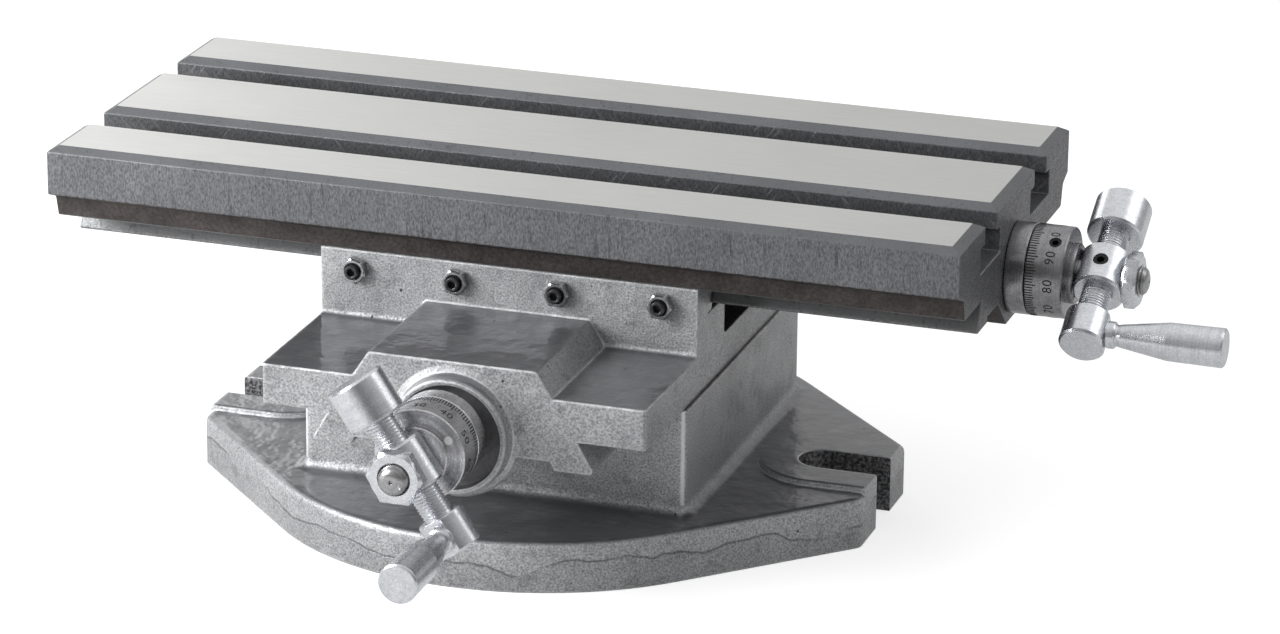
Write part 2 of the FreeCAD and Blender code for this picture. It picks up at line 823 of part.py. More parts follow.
class Crank:
    """Everything that turns with one leadscrew outside its bearing."""

    def __init__(self, start, outward, arm_direction, nut_turn, pin_direction, grub_direction):
        self.start = start
        self.outward = outward
        self.arm = arm_direction
        self.side = outward.cross(arm_direction)
        self.nut_turn = nut_turn
        self.pin_direction = pin_direction
        self.grub_direction = grub_direction
        self.centre = start + outward * arm_station

    def dial(self):
        """Graduated dial with the boss that the crank seats on."""
        chamfer = dial_edge_chamfer
        end = dial_start + dial_length
        body = turned(
            [
                (collar_radius - chamfer, dial_start), (collar_radius, dial_start + chamfer),
                (collar_radius, end - chamfer), (collar_radius - chamfer, end),
                (dial_boss_radius, end), (dial_boss_radius, end + dial_boss_length - chamfer),
                (dial_boss_radius - chamfer, end + dial_boss_length),
            ],
            self.start,
            self.outward,
        )
        length = dial_length + dial_boss_length
        seat = self.start + self.outward * dial_start
        body = body.cut(rod(journal_radius + seat_fit, seat, self.outward, length))
        grub = self.dial_screw_seat()
        body = body.cut(rod(dial_screw_radius + film, grub, self.grub_direction * -1, collar_radius))
        body = body.cut(rod(journal_radius + seat_fit, seat, self.outward, length))
        pin = self.pin_seat()
        return body.cut(rod(dial_pin_radius + seat_fit, pin, self.outward, dial_pin_length))

    def dial_screw_seat(self):
        """Point on the dial's rim where its set screw enters."""
        station = dial_end - dial_screw_from_end
        return self.start + self.outward * station + self.grub_direction * collar_radius

    def pin_seat(self):
        """Inner end of the pin in the dial's face."""
        inner = dial_end - dial_pin_length + dial_pin_stand_out
        return self.start + self.outward * inner + self.pin_direction * dial_pin_circle

    def dial_pin(self):
        """Small dowel in the dial's outer face."""
        return rod(dial_pin_radius, self.pin_seat(), self.outward, dial_pin_length)

    def dial_screw(self):
        """Set screw that locks the dial to the journal."""
        start = self.dial_screw_seat() - self.grub_direction * grub_recess
        length = collar_radius - grub_recess - journal_radius - seat_fit
        return set_screw(dial_screw_radius, length, dial_screw_socket, start, self.grub_direction * -1)

    def crank_arm(self):
        """Turned bar: counterweight, neck, flatted hub, neck and flatted head."""
        edge = crank_edge_chamfer
        profile = [
            (weight_radius - edge, -weight_end), (weight_radius, -weight_end + edge),
            (weight_radius, -weight_start - edge), (weight_radius - edge, -weight_start),
            (crank_neck_radius, -weight_start), (crank_neck_radius, -hub_half_length),
            (hub_radius - edge, -hub_half_length), (hub_radius, -hub_half_length + edge),
            (hub_radius, hub_half_length - edge), (hub_radius - edge, hub_half_length),
            (crank_neck_radius, hub_half_length), (crank_neck_radius, head_start),
            (head_radius - edge / 2, head_start), (head_radius, head_start + edge / 2),
            (head_radius, head_end - edge), (head_radius - edge, head_end),
        ]
        bar = turned(profile, Vector(0, 0, 0), Vector(1, 0, 0))
        reach = hub_half_length + over
        beside = hub_radius + over
        for low, high in ((hub_flat, beside), (-beside, -hub_flat)):
            bar = bar.cut(block((-reach, reach), (-beside, beside), (low, high)))
        beside = head_radius + over
        bar = bar.cut(block((head_start - over, head_end + over), (-beside, beside), (head_flat, beside)))
        up = Vector(0, 0, 1)
        bar = bar.cut(rod(journal_radius + seat_fit, Vector(0, 0, -hub_radius), up, 2 * hub_radius))
        handle_hole = Vector((head_start + head_end) / 2, 0, head_flat)
        depth = handle_spigot_length + over
        bar = bar.cut(rod(handle_spigot_radius + seat_fit, handle_hole, up * -1, depth))
        bar = bar.cut(rod(crank_screw_radius + film, Vector(0, -hub_radius, 0), Vector(0, 1, 0), hub_radius))
        bar = bar.cut(rod(journal_radius + seat_fit, Vector(0, 0, -hub_radius), up, 2 * hub_radius))
        return self.place(bar)

    def place(self, solid):
        """Move a solid from the crank's own frame, arm along X and outward along Z, to its place."""
        solid = solid.copy()
        turn = Rotation(self.arm, self.side, self.outward, "ZXY")
        solid.Placement = Placement(self.centre, turn).multiply(solid.Placement)
        return solid

    def crank_screw(self):
        """Set screw that locks the crank to the journal."""
        start = Vector(0, -hub_radius + grub_recess, 0)
        length = hub_radius - grub_recess - journal_radius - seat_fit
        return self.place(set_screw(crank_screw_radius, length, crank_screw_socket, start, Vector(0, 1, 0)))

    def crank_nut(self):
        """Thin nut that clamps the crank against the dial."""
        seat = self.start + self.outward * nut_seat
        bore = journal_radius + seat_fit
        return bevelled_nut(crank_nut_across, crank_nut_thickness, bore, seat, self.outward, self.nut_turn)

    def handle(self):
        """Turned handle with a collar, a waist and a spigot that is screwed into the head."""
        edge = handle_edge
        profile = [
            (handle_spigot_radius - edge, -handle_spigot_length),
            (handle_spigot_radius, -handle_spigot_length + edge),
            (handle_spigot_radius, 0), (handle_collar_radius - edge, 0), (handle_collar_radius, edge),
            (handle_collar_radius, handle_collar_length - edge),
            (handle_collar_radius - edge, handle_collar_length),
            (handle_neck_radius, handle_collar_length), (handle_neck_radius, handle_collar_length + edge),
            (handle_neck_radius + edge / 2, handle_collar_length + 3 * edge),
            (handle_shoulder_radius, handle_shoulder), (handle_end_radius, handle_length - edge),
            (handle_end_radius - edge, handle_length),
        ]
        seat = Vector((head_start + head_end) / 2, 0, head_flat)
        return self.place(turned(profile, seat, Vector(0, 0, 1)))


def lower_crank():
    """Crank of the cross feed, at the front."""
    turn = math.radians(lower_crank_turn)
    pin_turn = math.radians(lower_pin_turn)
    grub_turn = math.radians(lower_dial_screw_turn)
    arm = Vector(math.cos(turn), 0, math.sin(turn))
    pin = Vector(math.cos(pin_turn), 0, math.sin(pin_turn))
    grub = Vector(-math.sin(grub_turn), 0, -math.cos(grub_turn))
    start = Vector(0, lower_collar_start, lower_axis_height)
    return Crank(start, Vector(0, -1, 0), arm, 0, pin, grub)


def upper_crank():
    """Crank of the long feed, at the table's right end."""
    turn = math.radians(upper_crank_turn)
    pin_turn = math.radians(upper_pin_turn)
    grub_turn = math.radians(upper_dial_screw_turn)
    arm = Vector(0, -math.cos(turn), -math.sin(turn))
    pin = Vector(0, math.cos(pin_turn), -math.sin(pin_turn))
    grub = Vector(0, -math.cos(grub_turn), math.sin(grub_turn))
    start = Vector(upper_collar_start, table_centre_y, upper_axis_height)
    return Crank(start, Vector(1, 0, 0), arm, 0, pin, grub)


def build():
    """All sub-parts by node name."""
    nodes = {}
    nodes["base_casting"] = base_casting()
    nodes["saddle_casting"] = saddle_casting()
    nodes["table_casting"] = table_casting()
    nodes["y_gib"] = gib_strip(
        lower_way_half, saddle_underside, groove_floor, "XZ", 0, pedestal_front, pedestal_rear,
    )
    nodes["x_gib"] = gib_strip(
        upper_way_half, table_underside, upper_way_floor, "YZ", saddle_rest,
        -saddle_half_length, saddle_half_length,
    )
    nodes["y_gib_screws"], nodes["y_gib_locknuts"] = gib_fasteners(
        -pedestal_half_width, lower_way_half, saddle_underside, 0, pedestal_centre, Vector(1, 0, 0),
    )
    nodes["x_gib_screws"], nodes["x_gib_locknuts"] = gib_fasteners(
        cheek_front, upper_way_half, table_underside, saddle_rest, 0, Vector(0, 1, 0),
    )
    nodes["y_nut"] = screw_nut(
        "XZ", 0, groove_floor, lower_nut_foot, lower_axis_height, lower_nut_centre - nut_length / 2,
    )
    nodes["y_nut_screws"] = nut_screws("XZ", 0, groove_floor + lower_nut_foot, lower_nut_centre)
    nodes["x_nut"] = screw_nut(
        "YZ", saddle_rest, upper_channel_floor, upper_nut_foot, upper_axis_height, -nut_length / 2,
    )
    nodes["x_nut_screws"] = nut_screws("YZ", saddle_rest, upper_channel_floor + upper_nut_foot, 0)
    lower = lower_crank()
    upper = upper_crank()
    lower_neck = recess_floor_y - lower_collar_start
    lower_shank = saddle_inner_wall - recess_floor_y
    lower_bearing = lower_neck + lower_shank
    nodes["y_index_collar"] = index_collar(lower.start, lower.outward, lower_neck, lower_shank)
    nodes["x_index_collar"] = index_collar(upper.start, upper.outward, 0, end_wall_length)
    nodes["y_leadscrew"] = leadscrew(lower.start, lower.outward, lower_bearing, lower_thread_length)
    nodes["x_leadscrew"] = leadscrew(upper.start, upper.outward, end_wall_length, upper_thread_length)
    for name, crank in (("y", lower), ("x", upper)):
        nodes[name + "_dial"] = crank.dial()
        nodes[name + "_dial_pin"] = crank.dial_pin()
        nodes[name + "_dial_screw"] = crank.dial_screw()
        nodes[name + "_crank_arm"] = crank.crank_arm()
        nodes[name + "_crank_screw"] = crank.crank_screw()
        nodes[name + "_crank_nut"] = crank.crank_nut()
        nodes[name + "_crank_handle"] = crank.handle()
    return nodes


def main():
    """Build every sub-part and write one STEP file for each."""
    os.makedirs("parts", exist_ok=True)
    for name, shape in build().items():
        shape.exportStep("parts/" + name + ".step")
        volume = round(shape.Volume / 1000, 2)
        print(name, len(shape.Solids), "solids", volume, "cm3", "valid", shape.isValid())


main()
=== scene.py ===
"""Looks of the cross slide table: castings, ways, feeds and fasteners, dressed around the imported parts."""
import logging
import math
from dataclasses import dataclass, replace
from enum import Enum
from typing import Callable, Sequence

import bmesh
import bpy
from mathutils import Matrix, Vector


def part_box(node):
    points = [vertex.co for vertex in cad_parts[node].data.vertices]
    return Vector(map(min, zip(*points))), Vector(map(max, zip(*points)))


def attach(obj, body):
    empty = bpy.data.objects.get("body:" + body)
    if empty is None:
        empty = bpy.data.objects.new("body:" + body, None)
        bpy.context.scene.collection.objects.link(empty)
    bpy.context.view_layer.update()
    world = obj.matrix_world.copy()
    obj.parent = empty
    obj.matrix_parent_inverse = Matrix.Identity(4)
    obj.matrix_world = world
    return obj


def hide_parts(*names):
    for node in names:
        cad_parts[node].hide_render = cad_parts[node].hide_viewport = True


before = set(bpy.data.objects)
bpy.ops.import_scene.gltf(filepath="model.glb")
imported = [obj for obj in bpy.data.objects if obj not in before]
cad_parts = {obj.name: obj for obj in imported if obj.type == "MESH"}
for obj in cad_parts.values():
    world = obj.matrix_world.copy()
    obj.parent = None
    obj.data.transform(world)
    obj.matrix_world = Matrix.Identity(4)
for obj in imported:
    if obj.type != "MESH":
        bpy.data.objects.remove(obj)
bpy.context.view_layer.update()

LOG = logging.getLogger("cross_slide_table")
MM = 0.001
SHARP_ANGLE = math.radians(30)
Triple = tuple[float, float, float]
Colour = tuple[float, float, float, float]
Radius = float | Callable[[float], float]
Node = bpy.types.Node
Socket = bpy.types.NodeSocket
Material = bpy.types.Material
Piece = bpy.types.Object
Shape = bmesh.types.BMesh


def linear(code: str) -> Colour:
    """Turn an sRGB hex colour into the linear colour that a shader socket takes.

    Args:
        code: Colour as "#rrggbb".

    Returns:
        Red, green, blue and alpha, linear.
    """
    channels = [int(code[place:place + 2], 16) / 255 for place in (1, 3, 5)]
    channels = [c / 12.92 if c <= 0.04045 else ((c + 0.055) / 1.055) ** 2.4 for c in channels]
    return (*channels, 1.0)


class Net:
    """A node tree in the making."""

    def __init__(self, tree: bpy.types.NodeTree) -> None:
        """Work on a tree."""
        self.tree = tree

    def give(self, node: Node, inputs: dict) -> None:
        """Give a node's sockets their values and links.

        Args:
            node: The node.
            inputs: Sockets by name or index, each with a value or with the socket that feeds it.
        """
        for name, value in inputs.items():
            if isinstance(value, Socket):
                self.tree.links.new(value, node.inputs[name])
            else:
                node.inputs[name].default_value = value

    def add(self, kind: str, inputs: dict | None = None, **settings: object) -> Socket | None:
        """Add a node with its settings, socket values and links.

        Args:
            kind: Blender's name of the node type.
            inputs: Sockets by name or index, each with a value or with the socket that feeds it.
            settings: Node properties by name.

        Returns:
            The first output that the settings leave in use, where there is one.
        """
        made = self.tree.nodes.new(kind)
        for name, value in settings.items():
            setattr(made, name, value)
        self.give(made, inputs or {})
        return next((socket for socket in made.outputs if socket.enabled), None)

    def math(self, first: Socket | float, second: Socket | float = 0.0, way: str = "MULTIPLY") -> Socket:
        """Calculate with one or two values, by multiplication unless told otherwise."""
        return self.add("ShaderNodeMath", {0: first, 1: second}, operation=way)

    def ramp(self, factor: Socket, low: float, high: float, start: float = 0.0, end: float = 1.0) -> Socket:
        """Map a factor's range from low to high onto the range from start to end, clamped."""
        values = {"Value": factor, "From Min": low, "From Max": high, "To Min": start, "To Max": end}
        return self.add("ShaderNodeMapRange", values, clamp=True)


class Coat(Net):
    """The tree of one material, with its shader, Object coordinates in metres and the true normal."""

    def __init__(self, name: str, metallic: float) -> None:
        """Start a material.

        Args:
            name: Name of the material.
            metallic: Its metallic value all over.
        """
        self.material = bpy.data.materials.new(name)
        self.material.use_nodes = True
        super().__init__(self.material.node_tree)
        self.shader = next(n for n in self.tree.nodes if n.type == "BSDF_PRINCIPLED")
        self.shader.inputs["Metallic"].default_value = metallic
        self.where = self.add("ShaderNodeTexCoord").node.outputs["Object"]
        self.place = self.add("ShaderNodeSeparateXYZ", {0: self.where}).node.outputs
        self.normal = self.add("ShaderNodeNewGeometry").node.outputs["Normal"]
        self.facing = self.add("ShaderNodeSeparateXYZ", {0: self.normal}).node.outputs

    def finished(self, inputs: dict) -> Material:
        """Feed the shader's sockets and hand the material over."""
        self.give(self.shader, inputs)
        return self.material

    def grain(self, size: float, detail: float = 2.0, roughness: float = 0.5,
              where: Socket | None = None) -> Socket:
        """Noise about 0.5, of a feature size in millimetres, at the object's own coordinates or at others."""
        values = {"Vector": self.where if where is None else where, "Scale": 1 / (size * MM)}
        return self.add("ShaderNodeTexNoise", values | {"Detail": detail, "Roughness": roughness})

    def stretched(self, scale: Sequence[float], turn: Sequence[float] = (0, 0, 0)) -> Socket:
        """Coordinates scaled along the axes, so that a pattern comes out drawn along one of them.

        Args:
            scale: Factor along each axis.
            turn: Turn before the scaling, in degrees.

        Returns:
            Socket with the coordinates.
        """
        angles = [math.radians(a) for a in turn]
        turned = self.add("ShaderNodeMapping", {"Vector": self.where, "Rotation": angles})
        return self.add("ShaderNodeMapping", {"Vector": turned, "Scale": scale})

    def mixed(self, factor: Socket, first: str | Socket, second: str | Socket) -> Socket:
        """Mix two colours, sockets or sRGB hex values: all of the first at factor 0, of the second at 1."""
        first, second = (linear(tone) if isinstance(tone, str) else tone for tone in (first, second))
        return self.add("ShaderNodeMix", {0: factor, 6: first, 7: second}, data_type="RGBA")

    def shaded(self, tone: str | Socket, level: Socket) -> Socket:
        """Make a colour, a socket or an sRGB hex value, darker or brighter by a factor."""
        first = linear(tone)[:3] if isinstance(tone, str) else tone
        return self.add("ShaderNodeVectorMath", {0: first, "Scale": level}, operation="SCALE")

    def edges(self, width: float) -> tuple[Socket, Socket]:
        """Rounded normals along the edges, and a mask that is 1 right on them.

        Args:
            width: How far the rounding reaches from an edge, in millimetres.

        Returns:
            Socket with the normal and socket with the mask.
        """
        rounded = self.add("ShaderNodeBevel", {"Radius": width * MM}, samples=4)
        across = self.add("ShaderNodeVectorMath", {0: rounded, 1: self.normal}, operation="DOT_PRODUCT")
        return rounded, self.ramp(across, 0.975, 0.9)

    def bumps(self, layers: Sequence[tuple[Socket, float]], under: Socket | None = None) -> Socket:
        """Stack bump layers.

        Args:
            layers: Pairs of a height from 0 to 1 and its depth in millimetres.
            under: Normal that the first layer starts from.

        Returns:
            Socket with the normal.
        """
        normal = under
        for height, depth in layers:
            inputs = {"Height": height, "Distance": depth * MM, "Strength": 1.0}
            if normal is not None:
                inputs["Normal"] = normal
            normal = self.add("ShaderNodeBump", inputs)
        return normal


@dataclass(frozen=True)
class Finish:
    """What every finish has: a name and the metallic value that is the same all over."""

    name: str
    metallic: float = 0.0

    def start(self) -> Coat:
        """Start the finish's material."""
        return Coat(self.name, self.metallic)


@dataclass(frozen=True)
class CastingPaint(Finish):
    """Aluminium-pigment enamel over sand-cast iron: silvery grit on the upright faces, glossy on the filled
    tops, whose darker colour is painted shade, and bright along the edges, partly rubbed and partly painted
    highlight.
    Sizes and heights are in millimetres."""

    name: str = "aluminium_enamel_on_cast_iron"
    metallic: float = 0.45
    colour: str = "#9a9b9d"
    pale: str = "#adaeb0"
    dull: str = "#7c7d7f"
    # Painted shade: upward faces get this darker colour than the upright faces
    top: str = "#626366"
    # Near-white edge colour, partly rubbed-through enamel and partly painted highlight
    edge_wear_and_highlight: str = "#f0f1f2"
    hole: str = "#2f2f31"
    unpainted: str = "#606062"
    edge_width: float = 1.3
    cloud_size: float = 38
    patch_size: float = 8
    # Moulding sand and brush hairs are finer than this, too fine to show
    sand_size: float = 0.65
    streak_size: float = 0.6
    pit_spacing: float = 6
    wear_size: float = 4
    gloss_size: float = 6
    wave_size: float = 14
    grit_size: float = 1.2
    run_size: float = 34
    run_gap_size: float = 30
    run_wander: float = 6.0
    run_height: float = 0.0
    corner_height: float = 0.0
    slot_box: Triple = (0.0, 0.0, 0.0)
    recess: tuple[float, float, float, float] = (0.0, 0.0, 0.0, 0.0)

    def material(self) -> Material:
        """Paint with sand grain, pits, runs, painted shade and edges partly worn, partly painted highlight.

        Returns:
            The material.
        """
        net = self.start()
        rounded, edge = net.edges(self.edge_width)
        # 1 on faces that look up and 0 on upright ones
        top = net.ramp(net.facing["Z"], 0.5, 0.9)
        upright = net.math(1.0, top, "SUBTRACT")
        cloud = net.ramp(net.grain(self.cloud_size, 3), 0.35, 0.65)
        patch = net.ramp(net.grain(self.patch_size, 4, 0.6), 0.56, 0.7, 0, 0.6)
        tone = net.mixed(patch, net.mixed(cloud, self.colour, self.pale), self.dull)
        sand = net.grain(self.sand_size, 2, 0.7)
        tone = net.shaded(tone, net.ramp(sand, 0.34, 0.66, 0.56, 1.4))
        streak = net.grain(self.streak_size, 3, 0.6, net.stretched((0.07, 1, 1)))
        # Painted shade: the tops take the darker top colour, streaked
        level = net.shaded(net.mixed(patch, self.top, self.dull), net.ramp(streak, 0.3, 0.7, 0.84, 1.16))
        pit = self.pits(net)
        tone = net.mixed(pit, net.mixed(top, tone, level), self.hole)
        holes = net.math(1.0, pit, "SUBTRACT")
        if self.run_height:
            run, under = self.run(net, upright)
            tone = net.shaded(tone, net.ramp(under, 0, 1, 1.05, 0.9))
            thick = net.ramp(run, 0, 1, 1.0, 0.5)
            tone = net.shaded(tone, thick)
            holes = net.math(holes, thick)
        # Edges, inner ones too, go near white: partly wear, partly painted highlight
        wear_and_highlight = net.math(edge, net.ramp(net.grain(self.wear_size, 3, 0.7), 0.36, 0.56, 0.35, 1.0))
        tone = net.mixed(wear_and_highlight, tone, self.edge_wear_and_highlight)
        # Painted highlight, partly rubbed enamel, on the crests of the rounded upright corners
        if self.corner_height:
            tone = net.mixed(self.corner(net), tone, self.edge_wear_and_highlight)
        if self.slot_box[0]:
            tone = net.mixed(net.math(self.slots(net), upright), tone, self.grit(net, 1.4))
        # Painted shade, partly: the front recess is coloured as dark unpainted iron
        if self.recess[2]:
            tone = net.mixed(self.shaded_recess(net), tone, self.grit(net, 0.15))
        gloss = net.ramp(net.grain(self.gloss_size, 3), 0.3, 0.7, 0.4, 0.52)
        waves = net.grain(self.wave_size, 3, 0.55)
        grit = net.math(sand, net.ramp(top, 0, 1, 1.0, 0.2))
        net.shader.inputs["Base Color"].default_value = linear(self.colour)
        return net.finished({
            "Base Color": tone, "Roughness": net.math(gloss, net.ramp(top, 0, 1, 1.0, 0.75)),
            "Normal": net.bumps([(waves, 1.0), (grit, 0.16), (holes, 0.2)], rounded),
            "Coat Weight": net.ramp(top, 0, 1, 0.1, 0.5), "Coat Roughness": 0.08,
            "Coat Normal": net.bumps([(waves, 0.8), (holes, 0.2)], rounded),
        })

    def pits(self, net: Coat) -> Socket:
        """Small pits that the mould left, in about a third of their pattern's cells.

        Args:
            net: Tree of the paint.

        Returns:
            Socket that is 1 in a pit.
        """
        scale = 1 / (self.pit_spacing * MM)
        cells = {"Vector": net.where, "Scale": scale, "Randomness": 1.0}
        cells = net.add("ShaderNodeTexVoronoi", cells).node.outputs
        chosen = net.add("ShaderNodeSeparateColor", {0: cells["Color"]})
        return net.math(net.ramp(cells["Distance"], 0.1, 0.05), net.ramp(chosen, 0.68, 0.7))

    def corner(self, net: Coat) -> Socket:
        """Crests of the rounded corners above a height, made light as a painted highlight and where the
        enamel is rubbed thin.

        Args:
            net: Tree of the paint.

        Returns:
            Socket that is 0.75 on a crest.
        """
        both = net.math(net.math(net.facing["X"], net.facing["Y"]), way="ABSOLUTE")
        crest = net.ramp(both, 0.4, 0.49, 0.0, 0.75)
        return net.math(crest, net.math(net.place["Z"], self.corner_height * MM, "GREATER_THAN"))

    def grit(self, net: Coat, extra: float) -> Socket:
        """Dark unpainted iron with the mould's coarse grain, whose bright grains are brighter by the extra.
        """
        spread = net.ramp(net.grain(self.grit_size, 2, 0.7), 0.42, 0.62, 1 - extra / 2, 1 + extra)
        return net.shaded(self.unpainted, spread)

    def slots(self, net: Coat) -> Socket:
        """Inside of the bolt slots, whose walls were never painted.

        Args:
            net: Tree of the paint.

        Returns:
            Socket that is 1 inside.
        """
        size = net.add("ShaderNodeVectorMath", {0: net.where}, operation="ABSOLUTE")
        size = net.add("ShaderNodeSeparateXYZ", {0: size}).node.outputs
        start, half, top = (value * MM for value in self.slot_box)
        inside = net.math(size["X"], start, "GREATER_THAN")
        inside = net.math(inside, net.math(size["Y"], half, "LESS_THAN"))
        return net.math(inside, net.math(size["Z"], top, "LESS_THAN"))

    def shaded_recess(self, net: Coat) -> Socket:
        """Inside of the round recess at the front, coloured as dark unpainted iron, partly as painted shade.

        Args:
            net: Tree of the paint.

        Returns:
            Socket that is 1 inside.
        """
        x, z, radius, depth = (value * MM for value in self.recess)
        flat = net.add("ShaderNodeCombineXYZ", {"X": net.place["X"], "Z": net.place["Z"]})
        away = net.add("ShaderNodeVectorMath", {0: flat, 1: (x, 0.0, z)}, operation="DISTANCE")
        near = net.math(away, radius, "LESS_THAN")
        return net.math(near, net.math(net.place["Y"], depth, "LESS_THAN"))

    def run(self, net: Coat, upright: Socket) -> tuple[Socket, Socket]:
        """Wavy line where the thick coat stopped running, on upright faces only.

        Args:
            net: Tree of the paint.
            upright: 1 on upright faces.

        Returns:
            Socket that is 1 on the line, and one that is 1 below it.
        """
        wander = self.run_wander * MM
        line = net.grain(self.run_size, 3, 0.45, net.stretched((1, 1, 0.3)))
        line = net.ramp(line, 0.2, 0.8, -wander, wander)
        line = net.math(net.place["Z"], net.math(line, self.run_height * MM, "ADD"), "SUBTRACT")
        under = net.math(net.ramp(line, 0.1 * MM, -0.1 * MM), upright)
        mark = net.ramp(net.math(line, way="ABSOLUTE"), 0.55 * MM, 0.2 * MM)
        mark = net.math(mark, net.ramp(net.grain(self.run_gap_size, 1), 0.35, 0.5))
        return net.math(mark, upright), under


@dataclass(frozen=True)
class GroundIron(Finish):
    """Cast iron after a surface grinder: bright silver, with hair-fine scratches along the wheel's path."""

    name: str = "surface_ground_cast_iron"
    metallic: float = 1.0
    colour: str = "#cfcfcd"
    shade: str = "#c2c2c0"
    gloss: float = 0.47
    along: Triple = (0.02, 1.0, 1.0)
    # A wheel's scratches are finer than this, too fine to show
    hair_size: float = 0.35
    cloud_size: float = 60

    def material(self) -> Material:
        """Bright metal drawn along one direction.

        Returns:
            The material.
        """
        net = self.start()
        hair = net.grain(self.hair_size, 3, 0.65, net.stretched(self.along))
        cloud = net.grain(self.cloud_size, 2)
        return net.finished({
            "Base Color": net.mixed(net.ramp(hair, 0.3, 0.7), self.colour, self.shade),
            "Roughness": net.ramp(cloud, 0.3, 0.7, self.gloss - 0.04, self.gloss + 0.05),
            "Normal": net.bumps([(hair, 0.004)]),
        })


@dataclass(frozen=True)
class MilledIron(Finish):
    """Grey cast iron straight off a milling cutter: dark, sparkling open grain with a few scratches."""

    name: str = "milled_grey_cast_iron"
    metallic: float = 0.4
    colour: str = "#636467"
    scratch: str = "#38393b"
    gloss: float = 0.42
    contrast: float = 0.42
    along: Triple = (1.0, 1.0, 0.06)
    turns: tuple[float, ...] = (4.0,)
    spacing: float = 1.3
    amount: float = 0.6
    # The iron's own grain is finer than this, too fine to show
    speck_size: float = 0.55
    grit: Triple = (1.0, 1.0, 0.45)
    cloud_size: float = 25
    patch_size: float = 7
    wear_size: float = 5
    skin_size: float = 1.7
    edge_width: float = 0.55
    burr_and_highlight: str = "#c4c4c5"
    skin: str = "#3e3937"
    skin_height: float = 0.0
    skin_wander: float = 0.8

    def scratches(self, net: Coat) -> Socket:
        """Scratches at one or more angles, which come and go in patches of a size of their own.

        Args:
            net: Tree of the metal.

        Returns:
            Socket that is highest on a scratch.
        """
        lines = None
        for turn in self.turns:
            drawn = net.grain(self.spacing, 2, 0.6, net.stretched(self.along, (0, turn, 0)))
            patch = net.grain(self.patch_size + turn / 20, 2)
            drawn = net.math(net.ramp(drawn, 0.56, 0.7), net.ramp(patch, 0.4, 0.6))
            lines = drawn if lines is None else net.math(lines, drawn, "MAXIMUM")
        return net.math(lines, self.amount)

    def left(self, net: Coat) -> Socket:
        """Cast skin left below the wavy end of the cut.

        Args:
            net: Tree of the metal.

        Returns:
            Socket that is 1 on the skin.
        """
        wander = self.skin_wander * MM
        line = net.grain(self.skin_size, 3, 0.6, net.stretched((1, 1, 0.2)))
        line = net.ramp(line, 0.25, 0.75, -wander, wander)
        line = net.math(line, self.skin_height * MM, "ADD")
        return net.ramp(net.math(net.place["Z"], line, "SUBTRACT"), 0.1 * MM, -0.1 * MM)

    def material(self) -> Material:
        """Dark speckled metal with scratches, and the cast skin left below the cut.

        Returns:
            The material.
        """
        net = self.start()
        speck = net.grain(self.speck_size, 2, 0.7, net.stretched(self.grit))
        spread = net.ramp(speck, 0.34, 0.66, -self.contrast, self.contrast)
        # The sloping chamfers are smooth and sparkle less
        slope = net.math(net.facing["Z"], way="ABSOLUTE")
        spread = net.math(spread, net.ramp(slope, 0.2, 0.4, 1.0, 0.2))
        tone = net.shaded(self.colour, net.math(spread, 1.0, "ADD"))
        tone = net.shaded(tone, net.ramp(net.grain(self.cloud_size, 2), 0.3, 0.7, 0.9, 1.1))
        lines = self.scratches(net)
        tone = net.mixed(lines, tone, self.scratch)
        rounded, edge = net.edges(self.edge_width)
        edge = net.math(edge, net.ramp(net.grain(self.wear_size, 3, 0.6), 0.35, 0.6, 0.5, 0.9))
        # Edges, inner ones too, go light grey: partly filed burr, partly painted highlight
        tone = net.mixed(edge, tone, self.burr_and_highlight)
        if self.skin_height:
            tone = net.mixed(self.left(net), tone, self.skin)
        return net.finished({
            "Base Color": tone,
            "Roughness": net.ramp(speck, 0.3, 0.7, self.gloss + 0.08, self.gloss - 0.06),
            "Normal": net.bumps([(speck, 0.13), (lines, 0.1)], rounded),
        })


@dataclass(frozen=True)
class RawCasting(Finish):
    """Bare sand-cast iron skin: brownish, dull and gritty."""

    name: str = "bare_sand_cast_iron"
    metallic: float = 0.25
    colour: str = "#453f3d"
    dark: str = "#302b2a"
    gloss: float = 0.6
    sand_size: float = 1.2
    cloud_size: float = 12

    def material(self) -> Material:
        """Dull brown skin with a sandy bump.

        Returns:
            The material.
        """
        net = self.start()
        sand = net.grain(self.sand_size, 3, 0.65)
        tone = net.mixed(net.ramp(net.grain(self.cloud_size, 3), 0.35, 0.65), self.dark, self.colour)
        tone = net.shaded(tone, net.ramp(sand, 0.34, 0.66, 0.6, 1.5))
        return net.finished({"Base Color": tone, "Roughness": self.gloss, "Normal": net.bumps([(sand, 0.3)])})


